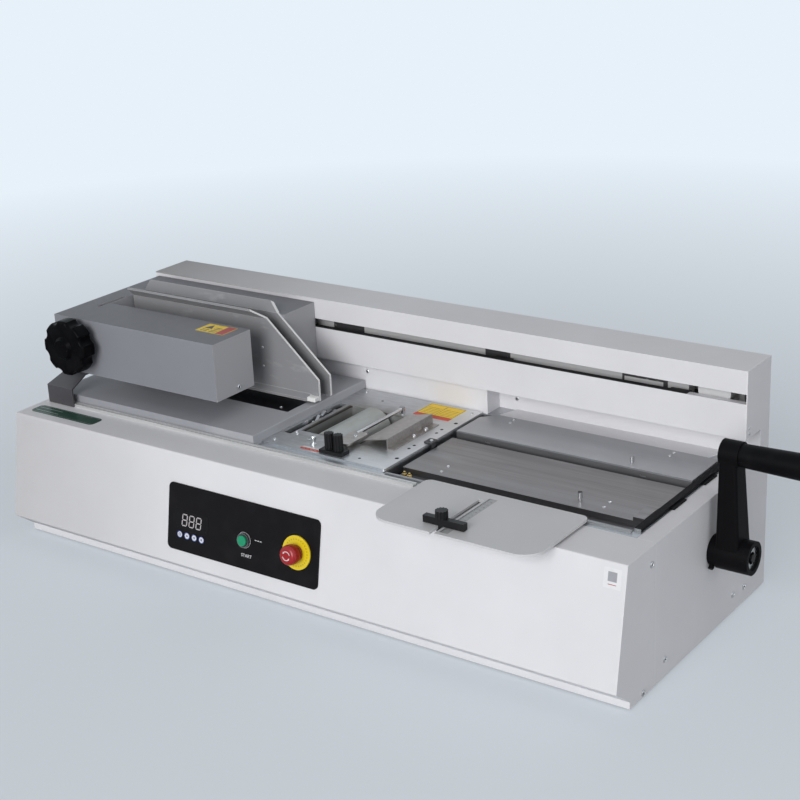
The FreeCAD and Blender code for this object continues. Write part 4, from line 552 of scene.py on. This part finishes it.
# Glue station: a cast tank of hot-melt glue with a steel roller in it, a wiping rod, a scraper bracket,
# a folded guard, and an adjuster block with two knurled thumb screws. Old glue darkens all of it.
tank_metal = metal("tank_casting", (0.30, 0.29, 0.27), 0.5, (1, 1, 1), 0.8)
tank_deep = 1 - tank_metal.axes()[2].rise(150 * mm, 222 * mm)
tank_metal.feed("colour", tank_metal.mix((tank_deep + tank_metal.noise(40, 5.0) * 0.3).rise(0.1, 0.9),
                                         (0.42, 0.42, 0.41), (0.11, 0.085, 0.05)))
wear(tank_metal, "glue_tank")
roller_steel = Finish("roller_steel", metallic=0.6)
roller_glue = roller_steel.noise(60, 5.0, (1, 0.3, 1)).rise(0.42, 0.7)
roller_steel.feed("colour", roller_steel.mix(roller_glue * 0.35, (0.46, 0.48, 0.47), (0.33, 0.30, 0.22)))
roller_steel.feed("roughness", roller_glue * 0.2 + 0.42)
roller_steel.bump(roller_steel.noise(500, 3.0, (1, 0.2, 1)), 0.05 * mm)
wear(roller_steel, "glue_roller")
bright_steel = metal("ground_steel", (0.62, 0.63, 0.64), 0.22)
wear(bright_steel, "clamp_screw", "guide_posts", "jaw_guides", "lever_shaft", "stop_stem",
     "wiper_rod")
bronze_steel = metal("bronzed_steel", (0.42, 0.395, 0.375), 0.36, (0.3, 1, 1), 0.7)
wear(bronze_steel, "glue_guard", "scraper_bracket")
black_plastic = plastic("black_plastic", (0.010, 0.010, 0.011), 0.38, shine=0.22)
wear(black_plastic, "adjuster_base", "thumb_screw_1", "thumb_screw_2", "limit_sensors")
station_screws = bmesh.new()
guard_foot_top, bracket_top, cap_height = plate_top + 1.5, plate_top + 10.5, 264.2
for y in (8, 42):
    cross_screw(station_screws, (83, y, guard_foot_top), up, 3.4, 2.4, turn=y)
cross_screw(station_screws, (14, -58, bracket_top), up, 3.2, 2.2)
cross_screw(station_screws, (-7, -90, plate_top), up, 2.6, 1.6)
turned(station_screws, ((6.2, -0.2), (6.2, 1.4), (5.8, 1.8), (3.6, 1.8), (3.6, 7), (4.6, 7.6), (4.6, 12.5),
                        (4.0, 13.4), (2.0, 13.8)), aim((-43, -96, plate_top), up), 36)
turned(station_screws, ((4.0, -0.2), (4.0, 3.0), (3.4, 3.6)), aim((-58, -88, plate_top), up), 6)
piece("station_screws", station_screws, [bright_steel, hole_painted_shade], "housing")
for number, x in enumerate((2, 20), 1):
    thumb_mesh = bmesh.new()
    thumb_place = aim((x, -111.5, cap_height), up)
    turned(thumb_mesh, ((6.2, -0.1), (6.2, 0.25), (5.4, 0.5), (1.6, 0.5)), thumb_place, 36)
    slab(thumb_mesh, [(-4.6, -0.6), (4.6, -0.6), (4.6, 0.6), (-4.6, 0.6)], thumb_place, 0.4, 0.7)
    piece("thumb_cap_%d" % number, thumb_mesh, [black_plastic], "thumb_%d" % number)


# Milling cutter: a blackened disc with ground teeth, and the blackened motors under the plate.
dark_steel = metal("blackened_steel", (0.085, 0.085, 0.09), 0.4)
wear(dark_steel, "base_motors")
cutter_steel = metal("cutter_steel", (0.13, 0.13, 0.135), 0.34)
cutter_y, cutter_z = cutter_steel.axes()[1:]
cutter_side, cutter_rise = cutter_y - 22 * mm, cutter_z - 174 * mm
cutter_teeth = (cutter_side * cutter_side + cutter_rise * cutter_rise) ** 0.5 > 56 * mm
cutter_steel.feed("colour", cutter_steel.mix(cutter_teeth, (0.12, 0.12, 0.125), (0.55, 0.55, 0.56)))
wear(cutter_steel, "milling_cutter")


# Nipping table: a base and two ground steel plates, streaked along their length by the grinder.
# Two pins, one in each plate, register the cover. An enamelled bar and a steel rail close the opening.
table_steel = Finish("table_steel", metallic=0.9)
table_x, table_y, table_z = table_steel.axes()
table_fine = table_steel.noise(420, 4.0, (0.02, 1, 1))
table_broad = table_steel.noise(60, 3.0, (0.03, 1, 1))
table_rubs = table_steel.noise(26, 6.0, (0.25, 1, 1)).rise(0.56, 0.7)
table_tone = table_steel.mix((table_fine * 0.5 + table_broad * 0.5).rise(0.36, 0.62), (0.245, 0.235, 0.235),
                             (0.32, 0.31, 0.31))
table_tone = table_steel.mix(table_rubs * 0.45, table_tone, (0.42, 0.42, 0.43))
# The rear plate is painted lighter than the front one: a painted reflection.
on_rear_plate = table_y > 60 * mm
table_tone = table_steel.mix(on_rear_plate * 0.6, table_tone, (0.60, 0.60, 0.615))
# Edges are painted a little lighter: a painted highlight.
table_tone = table_steel.mix(table_steel.edges(0.9 * mm) * 0.15, table_tone, (0.50, 0.50, 0.51))
# Faces turned to the front are painted dark: painted shade.
table_front = table_steel.facing()[1] < -0.3
table_tone = table_steel.mix(table_front * 0.8, table_tone, (0.10, 0.097, 0.10))
rear_plate_top, front_plate_top = 232, 224


def table_pin(pin_x, pin_y, top):
    """1 on a register pin that stands on a plate's top."""
    off_x, off_y = table_x - pin_x * mm, table_y - pin_y * mm
    return (off_x * off_x + off_y * off_y < (8 * mm) ** 2) * (table_z > (top + 0.3) * mm)


table_pins = table_pin(443, 78.4, rear_plate_top) | table_pin(432, -63.3, front_plate_top)
table_steel.feed("colour", table_steel.mix(table_pins, table_tone, (0.45, 0.45, 0.46)))
table_steel.feed("roughness", table_fine * 0.12 + table_rubs * 0.08 + on_rear_plate * 0.16
                 + (0.30 - table_pins * 0.3))
table_steel.bump(table_fine, 0.03 * mm)
wear(table_steel, "nip_table", "front_nip_plate", "rear_nip_plate")
black_enamel = powder_coat("black_enamel", (0.005, 0.005, 0.0055), 0.4, 1.8, shine=0.04)
wear(black_enamel, "lever_arm", "lever_collar")
border_enamel = powder_coat("border_enamel", (0.005, 0.005, 0.0055), 0.42, 1.8, shine=0.05)
on_front_rail = border_enamel.axes()[1] < -129.6 * mm
border_enamel.feed("colour", border_enamel.mix(on_front_rail, border_enamel.tone, (0.34, 0.345, 0.35)))
border_enamel.feed("metallic", on_front_rail * 0.85)
wear(border_enamel, "table_border")
front_plate_screws, rear_plate_screws = bmesh.new(), bmesh.new()
for x, y in ((194, -77), (192, -55), (476, -71), (475, -51)):
    cross_screw(front_plate_screws, (x, y, front_plate_top), up, 2.6, 1.3, turn=x)
for x, y in ((189, 133), (188, 146), (480, 133), (480, 146)):
    cross_screw(rear_plate_screws, (x, y, rear_plate_top), up, 2.6, 1.3, turn=y)
piece("front_plate_screws", front_plate_screws, [screw_steel, hole_painted_shade], "front_nip")
piece("rear_plate_screws", rear_plate_screws, [screw_steel, hole_painted_shade], "table")
brass = metal("turned_brass", (0.62, 0.47, 0.20), 0.28)
stop_nuts = bmesh.new()
for x, y in ((140, -101), (151, -103)):
    nut_place = aim((x, y, front_plate_top - 10), up)
    turned(stop_nuts, ((4.6, -0.2), (4.6, 1.0), (4.2, 1.2)), nut_place, 28)
    turned(stop_nuts, ((4.1, 1.0), (4.1, 4.6), (3.6, 5.0)), nut_place, 6)
    turned(stop_nuts, ((2.0, 4.0), (2.0, 8.0), (1.6, 8.4)), nut_place, 20)
piece("stop_nuts", stop_nuts, [brass], "table")
bush_bronze = metal("bush_bronze", (0.45, 0.28, 0.12), 0.35)
wear(bush_bronze, "shaft_bearings")


# Side lever: a cast arm in black enamel, clamped on the steel shaft by a collar with a set screw.
# A moulded grip turns on its bolt, and a moulded cap closes the boss.
grip_plastic = plastic("grip_plastic", (0.003, 0.003, 0.0034), 0.4, shine=0.06)
wear(grip_plastic, "lever_grip")
lever_y, lever_z = 38, 141
hub_face, collar_x = 659, 606
lever_bolt = bmesh.new()
hub_place = aim((hub_face, lever_y, lever_z), to_right)
turned(lever_bolt, ((10.5, -0.3), (10.5, 1.5), (9.8, 2.0)), hub_place, 40)
turned(lever_bolt, ((7.0, 1.5), (7.0, 4.4), (6.4, 5.0)), hub_place, 6)
piece("lever_bolt", lever_bolt, [black_plastic], "lever")
set_radius, set_rise = 3.6, 5.0
set_place = aim((collar_x, lever_y - 15, lever_z - 18.5), (0, -0.63, -0.77))
collar_screw = bmesh.new()
turned(collar_screw, ((set_radius, -0.2), (set_radius, set_rise - 0.5), (set_radius - 0.5, set_rise)),
       set_place, 28)
socket_radius = 0.52 * set_radius
hexagon = [(socket_radius * math.cos(math.tau * side / 6), socket_radius * math.sin(math.tau * side / 6))
           for side in range(6)]
# The hexagon socket is near-black: painted shade.
slab(collar_screw, hexagon, set_place, set_rise - 0.4, set_rise + 0.04, finish=1)
piece("collar_screw", collar_screw, [black_enamel, hole_painted_shade], "lever")


# Control panel: a screen-printed film on a 2 mm plate behind the slanted front's window.
# It has a smoked display with three digits, four membrane keys, a start button and an emergency stop.
panel_film = Finish("panel_film", shine=0.13)
film_dust = panel_film.noise(30, 5.0).rise(0.45, 0.8)
panel_film.feed("colour", panel_film.mix(film_dust, (0.006, 0.0055, 0.0065), (0.010, 0.0095, 0.0105)))
panel_film.feed("roughness", film_dust * 0.1 + 0.34)
panel_film.bump(panel_film.noise(1800, 2.0), 0.02 * mm)
wear(panel_film, "control_panel")
ledge_front, ledge_top = -230, 228
front_run, front_fall = 33.0, 184.0
front_length = math.hypot(front_run, front_fall)
front_place = aim((0, ledge_front, ledge_top), (0, -front_fall, front_run))
panel_face = 2.0


def on_panel(x, down, out=panel_face):
    """A place on the panel's film, its X to the right, its Y up the slant and its Z out of it."""
    return front_place @ Matrix.Translation(Vector((x, -down, out)) * mm)


def printed(name, colour, glow=0.0):
    """Screen-printing ink, or the light behind it where it glows."""
    ink = Finish(name, roughness=0.45, glow=glow, glow_colour=colour)
    ink.feed("colour", ink.mix(ink.noise(900, 3.0).rise(0.35, 0.75), shade(colour, 0.86), colour))
    return ink


white_ink = printed("white_ink", (0.72, 0.72, 0.74))
blue_ink = printed("blue_ink", (0.05, 0.10, 0.35))
start_x, start_down, stop_x, stop_down = -70, 114, 37, 110
smoked = Finish("smoked_window", roughness=0.2, shine=0.15)
smoked.feed("colour", smoked.mix(smoked.noise(60, 3.0), (0.006, 0.006, 0.007), (0.010, 0.010, 0.011)))
lit_digit = printed("lit_digit", (0.46, 0.43, 0.44), 0.1)
display = bmesh.new()
slab(display, rounded(-217, -146, -125, -92, 3), front_place, panel_face, panel_face + 0.25, 0.1)
digit_width, digit_height, stroke, digit_gap, digit_lean = 9.8, 19.0, 1.8, 0.45, 0.09
for digit in range(3):
    left, low = -202.5 + 15.0 * digit, -118.0
    for across, rise, upright in ((0.5, 0, False), (0.5, 1, False), (0.5, 2, False),
                                  (0, 0.5, True), (0, 1.5, True), (1, 0.5, True), (1, 1.5, True)):
        middle_x, middle_y = left + across * digit_width, low + rise * digit_height / 2
        half = (digit_height / 4 if upright else digit_width / 2) - digit_gap
        side = stroke / 2
        bar = [(-half, 0), (-half + side, -side), (half - side, -side), (half, 0), (half - side, side),
               (-half + side, side)]
        if upright:
            bar = [(-b, a) for a, b in bar]
        leaning = [(middle_x + a + digit_lean * (middle_y + b - low), middle_y + b) for a, b in bar]
        slab(display, leaning, front_place, panel_face + 0.2, panel_face + 0.4, finish=1)
piece("display", display, [smoked, lit_digit], "housing")


def ring(mesh, place, inner, outer, low, high, start=0.0, end=360.0, steps=40, finish=0):
    """A flat ring or part of one, in millimetres and degrees."""
    turn = [math.radians(start + (end - start) * step / steps) for step in range(steps + 1)]
    whole = end - start >= 360
    corners = ((inner, low), (outer, low), (outer, high), (inner, high))
    rows = [[mesh.verts.new(place @ (Vector((radius * math.cos(angle), radius * math.sin(angle),
                                             height)) * mm))
             for radius, height in corners] for angle in (turn[:-1] if whole else turn)]
    skin(mesh, rows + ([rows[0]] if whole else []), finish)
    if not whole:
        mesh.faces.new(rows[0][::-1]).material_index = finish
        mesh.faces.new(rows[-1]).material_index = finish


key_top = panel_face + 0.8
arrow_reach = 2.5
keys = bmesh.new()
for key in range(4):
    key_place = on_panel(-206 + 15.6 * key, 134, key_top)
    ring(keys, key_place, 4.7, 5.7, 0, 0.15, finish=1)
    turned(keys, ((4.6, 0), (4.6, 0.12)), key_place, 36)
    if key == 0:
        ring(keys, key_place, 1.5, 2.6, 0.1, 0.2, 120, 420, finish=1)
        slab(keys, [(-0.5, 1.0), (0.5, 1.0), (0.5, 3.3), (-0.5, 3.3)], key_place, 0.1, 0.2, finish=1)
    else:
        corners = [math.radians((0, 180, -90)[key - 1] + turn) for turn in (0, 240, 120)]
        arrow = [(arrow_reach * math.sin(angle), arrow_reach * math.cos(angle)) for angle in corners]
        slab(keys, arrow, key_place, 0.1, 0.2, finish=1)
piece("key_print", keys, [white_ink, blue_ink], "housing")


def words(name, text, height, place, finish, body, thick=0.1):
    """Printed letters or figures, centred on the place."""
    data = bpy.data.curves.new(name, "FONT")
    data.body = text
    data.size = height * mm / 0.7
    data.align_x, data.align_y = "CENTER", "CENTER"
    data.extrude = thick * mm
    data.materials.append(finish.material)
    made = bpy.data.objects.new(name, data)
    made.matrix_world = place
    bpy.context.scene.collection.objects.link(made)
    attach(made, body)
    return made


words("start_word", "START", 5.2, on_panel(-64, 139, panel_face + 0.1), white_ink, "housing")
start_print = bmesh.new()
ring(start_print, on_panel(start_x, start_down), 12.7, 13.1, 0, 0.15)
for mark in range(3):
    slab(start_print, rounded(-48 + 5 * mark, -44.5 + 5 * mark, -110, -108.8, 0.3, 2), front_place,
         panel_face, panel_face + 0.15)
piece("start_print", start_print, [white_ink], "housing")

switch_plastic = Finish("switch_plastics", coat=0.2, coat_roughness=0.2)
switch_x, switch_y, switch_z = switch_plastic.axes()
up_y, up_z = front_run / front_length, front_fall / front_length
slant_up = (switch_y - ledge_front * mm) * up_y + (switch_z - ledge_top * mm) * up_z
slant_out = (switch_z - ledge_top * mm) * up_y - (switch_y - ledge_front * mm) * up_z
start_off = ((switch_x - start_x * mm) ** 2 + (slant_up + start_down * mm) ** 2) ** 0.5
stop_off = ((switch_x - stop_x * mm) ** 2 + (slant_up + stop_down * mm) ** 2) ** 0.5
stop_ring = (stop_off < 28.0 * mm) * (slant_out > panel_face * mm)
stop_collar = (stop_off < 13.4 * mm) * (slant_out > 4.2 * mm)
chrome_bezel = start_off.between(10.2 * mm, 12.4 * mm) * (slant_out > panel_face * mm)
ring_tone = switch_plastic.mix(switch_plastic.noise(50, 3.0), (0.78, 0.60, 0.015), (0.72, 0.53, 0.012))
dash_turn = math.pi / 14
dashes = (switch_x.sum("ARCTAN2", slant_up + stop_down * mm, switch_x - stop_x * mm) % dash_turn
          < dash_turn / 2) * stop_off.between(20.4 * mm, 22.8 * mm)
switch_tone = switch_plastic.mix(dashes * 0.5, ring_tone, (0.30, 0.22, 0.01))
switch_tone = switch_plastic.mix(1 - stop_ring, switch_tone, (0.02, 0.02, 0.022))
switch_tone = switch_plastic.mix(stop_collar, switch_tone, (0.25, 0.02, 0.018))
switch_plastic.feed("colour", switch_plastic.mix(chrome_bezel, switch_tone, (0.22, 0.22, 0.23)))
switch_plastic.feed("metallic", chrome_bezel * 0.9)
switch_plastic.feed("roughness", 0.34 - chrome_bezel * 0.14)
wear(switch_plastic, "switch_bodies")
red_plastic = plastic("red_plastic", (0.33, 0.009, 0.011), 0.28)
wear(red_plastic, "stop_head")
green_plastic = plastic("green_plastic", (0.006, 0.27, 0.13), 0.28)
wear(green_plastic, "start_cap")
stop_top = 29.0
arrows = bmesh.new()
arrow_place = on_panel(stop_x, stop_down, stop_top)
for start in (20, 200):
    ring(arrows, arrow_place, 6.3, 7.6, -0.1, 0.15, start, start + 116, 24)
    tip, base = math.radians(start + 142), math.radians(start + 114)
    slab(arrows, [(radius * math.cos(angle), radius * math.sin(angle))
                  for radius, angle in ((7.0, tip), (5.2, base), (8.6, base))], arrow_place, -0.1, 0.15)
piece("stop_arrows", arrows, [white_ink], "stop_mushroom")


# Feed shelf: a 4 mm plate in light grey coat on two feet, with a slot and a printed rule beside it.
# A moulded stop bar slides along the slot and is locked by its fluted knob.
shelf_coat = powder_coat("shelf_powder_coat", (0.58, 0.58, 0.59), 0.42, 1.2)
wear(shelf_coat, "feed_shelf")
wear(black_plastic, "shelf_stop", "stop_knob")
rule_film = Finish("rule_film", roughness=0.4, coat=0.2)
rule_film.feed("colour", rule_film.mix(rule_film.noise(200, 4.0), (0.34, 0.34, 0.345), (0.40, 0.40, 0.405)))
rule_ink = printed("rule_ink", (0.03, 0.03, 0.03))
shelf_top, rule_left, rule_zero, tick_half = 236, 329, -282, 0.14
rule = bmesh.new()
slab(rule, rounded(rule_left, rule_left + 14, rule_zero - 1, -150, 0.8), lift(0), shelf_top, shelf_top + 0.15)
tick_left = rule_left + 0.3
for tick in range(131):
    low, high = rule_zero + tick - tick_half, rule_zero + tick + tick_half
    right = tick_left + (6.5 if tick % 10 == 0 else 4.8 if tick % 5 == 0 else 3.0)
    slab(rule, [(tick_left, low), (right, low), (right, high), (tick_left, high)], lift(0),
         shelf_top + 0.1, shelf_top + 0.22, finish=1)
piece("shelf_rule", rule, [rule_film, rule_ink], "housing")
for ten in range(1, 13):
    figure_spot = (rule_left + 10.5, rule_zero + 10 * ten, shelf_top + 0.16)
    figure_place = aim(figure_spot, up) @ Matrix.Rotation(math.pi / 2, 4, "Z")
    words("rule_figure_%d" % ten, str(ten), 3.0, figure_place, rule_ink, "housing", 0.03)


# Clamp carriage: a U-shaped cover of 1.5 mm satin grey sheet over its base plate, and a dark foot bracket.
# Its top is painted darker as painted shade and its right end paler as a painted highlight. A caution sticker
# without words lies on top.
grey_coat = powder_coat("grey_powder_coat", (0.235, 0.24, 0.265), 0.4, 1.5, shine=0.1)
# The top is painted darker as painted shade, and the right end paler as a painted highlight.
grey_end_highlight, grey_top_shade = (part > 0.7 for part in grey_coat.facing()[::2])
grey_tone = grey_coat.mix(grey_top_shade * 0.45, grey_coat.tone, (0.11, 0.105, 0.11))
grey_coat.feed("colour", grey_coat.mix(grey_end_highlight * 0.5, grey_tone, (0.55, 0.545, 0.56)))
wear(grey_coat, "carriage_cover")
dark_coat = powder_coat("dark_powder_coat", (0.055, 0.052, 0.058), 0.42, 1.8)
wear(dark_coat, "foot_bracket")
carriage_right, carriage_left, carriage_top = -220, -591, 380
carriage_screws = bmesh.new()
for y in (-69, 110):
    cross_screw(carriage_screws, (carriage_right, y, 290), to_right, 4.2, 2.2, turn=y)
for y in (-80, 100):
    cross_screw(carriage_screws, (carriage_left, y, 290), to_left, 4.2, 2.2, turn=y)
piece("carriage_screws", carriage_screws, [screw_steel, hole_painted_shade], "carriage")
pinch_place = aim((-302, -77, carriage_top), up)
pinch_ink = [(0.03, 0.02, 0.01)] + [(left, left + 15, low, low + 2.6) for left in (7, 25) for low in (5, 11)]
pinch_ink += [(26, 40, 18, 20.6), (26, 40, 24, 26.6), (0.8, 61.2, 0.6, 1.6), (0.8, 61.2, 38.4, 39.4)]
label("carriage_label", 62, 40, pinch_place, ((0, (0.86, 0.60, 0.008)),), "carriage",
      pinch_ink, 1.5)
pinch_marks = bmesh.new()
slab(pinch_marks, rounded(43, 61, 1, 39, 1), Matrix.Identity(4), 0.15, 0.25, 0.02)
slab(pinch_marks, [(6, 18), (23, 18), (14.5, 35)], Matrix.Identity(4), 0.15, 0.25, finish=1)
red_ink = printed("red_ink", (0.42, 0.03, 0.02))
black_ink = printed("black_ink", (0.03, 0.02, 0.015))
piece("carriage_label_marks", pinch_marks, [red_ink, black_ink], "carriage", pinch_place)


# Jaws: 4 mm steel plates in the same grey, their laser-cut ends and edges painted bright as a painted
# highlight, with flared lips on top.
# A white nylon block at the front jaw's foot guides the pages' spine.
jaw_coat = powder_coat("jaw_powder_coat", (0.26, 0.26, 0.27), 0.36, 1.0, shine=0.4)
jaw_rub = jaw_coat.noise(60, 6.0, (0.4, 1, 1)).rise(0.58, 0.72)
# Right-facing ends and edges are painted bright as a painted highlight; jaw_rub adds real rubbed spots.
jaw_highlight_and_rub = (jaw_coat.facing()[0] > 0.3) * 0.9 | jaw_coat.edges(0.9 * mm) * 0.7 | jaw_rub * 0.12
jaw_coat.feed("colour", jaw_coat.mix(jaw_highlight_and_rub, jaw_coat.tone, (0.88, 0.88, 0.88)))
wear(jaw_coat, "front_jaw", "rear_jaw")
jaw_front = 25
jaw_screws = bmesh.new()
for x, z in ((-243, 328), (-244, 294)):
    cross_screw(jaw_screws, (x, jaw_front, z), to_front, 2.4, 1.3, turn=z)
piece("jaw_screws", jaw_screws, [screw_steel, hole_painted_shade], "moving_jaw")
nylon = plastic("white_nylon", (0.80, 0.80, 0.79), 0.42)
spine_block = bmesh.new()
spine_place = Matrix.Translation((0, (jaw_front - 0.1) * mm, 0)) @ Matrix.Rotation(math.pi / 2, 4, "X")
slab(spine_block, rounded(-142, -124.5, 251, 258.5, 1.2), spine_place, 0, 11.4, 0.6)
piece("spine_block", spine_block, [nylon], "moving_jaw")


# Handwheel: a gloss black moulded wheel with eight lobes.
# Its hub is pinned on the ground screw that opens and closes the front jaw.
wheel_plastic = plastic("wheel_plastic", (0.002, 0.002, 0.0024), 0.26, shine=0.04)
wear(wheel_plastic, "handwheel")


# Beam drive: an aluminium sleeve pair on a rail, two pulleys, and end switches seen through the slot.
# The rail, its plate and the motor have a light grey coat, and black sensor heads sit flush in the rail.
# A black strip on the slot's lower lip is a painted shadow of the gap there.
aluminium = metal("machined_aluminium", (0.56, 0.57, 0.58), 0.36)
wear(aluminium, "drive_pulley", "idler_pulley", "slide_blocks")
rail_coat = powder_coat("rail_powder_coat", (0.56, 0.56, 0.565), 0.45, 1.0)
lip_top = 334
rail_x, rail_z = rail_coat.axes()[::2]
rail_sensor = rail_x.between(374 * mm, 446 * mm) * (rail_z > lip_top * mm)
for left, right in ((-202, -135), (117, 166), (374, 378), (446, 454)):
    rail_sensor = rail_sensor | rail_x.between(left * mm, right * mm)
rail_spot = rail_coat.noise(90, 3.0).rise(0.62, 0.68) * 0.3
rail_coat.feed("colour", rail_coat.mix(rail_sensor * (0.95 - rail_spot), rail_coat.tone, (0.02, 0.02, 0.022)))
wear(rail_coat, "guide_rail", "beam_plate", "drive_motor")
# This black strip stands for shade in the slot: a painted shadow.
slot_shadow_strip = bmesh.new()
slab(slot_shadow_strip, rounded(-588, 500, 145.8, 156.4, 0.6), lift(0), lip_top - 0.1, lip_top + 0.7)
piece("slot_shadow_strip", slot_shadow_strip, [rubber("painted_shadow_black")], "housing")


# Power entry and inner parts: a moulded inlet with a red rocker, a metal-cased supply and the control board.
wear(black_plastic, "power_inlet")
rocker_red = plastic("rocker_red", (0.40, 0.012, 0.012), 0.26)
wear(rocker_red, "power_rocker")
inner_finish = Finish("supply_and_boards", roughness=0.45)
inner_x, inner_z = inner_finish.axes()[::2]
on_supply = (inner_x > -100 * mm) * (inner_z < 60 * mm)
inner_finish.feed("colour", inner_finish.mix(on_supply, (0.012, 0.12, 0.05), (0.50, 0.51, 0.52)))
inner_finish.feed("metallic", on_supply * 0.9)
wear(inner_finish, "electronics")


# Plain plates: a green anodised plate without words on the ledge, and a blank white label on the front.
label("ledge_plate", 150, 30, aim((-586, -211, ledge_top), up), ((0, (0.006, 0.038, 0.021)),), "housing",
      [(0.42, 0.50, 0.46), (4, 146, 2.6, 3.1), (4, 146, 26.9, 27.4), (4, 60, 20, 21.2),
                        (4, 60, 9, 10.2)], 8.0, 0.5)
blank_place = on_panel(565, 38, 0)
label("front_label", 27, 29, blank_place, ((0, (0.74, 0.74, 0.76)),), "housing",
      [(0.30, 0.30, 0.33), (6.5, 20.5, 10, 24)], 1.0)
label_line = bmesh.new()
slab(label_line, rounded(7, 20, 5.2, 6.2, 0.3, 2), Matrix.Identity(4), 0.15, 0.25)
piece("front_label_line", label_line, [red_ink], "housing", blank_place)
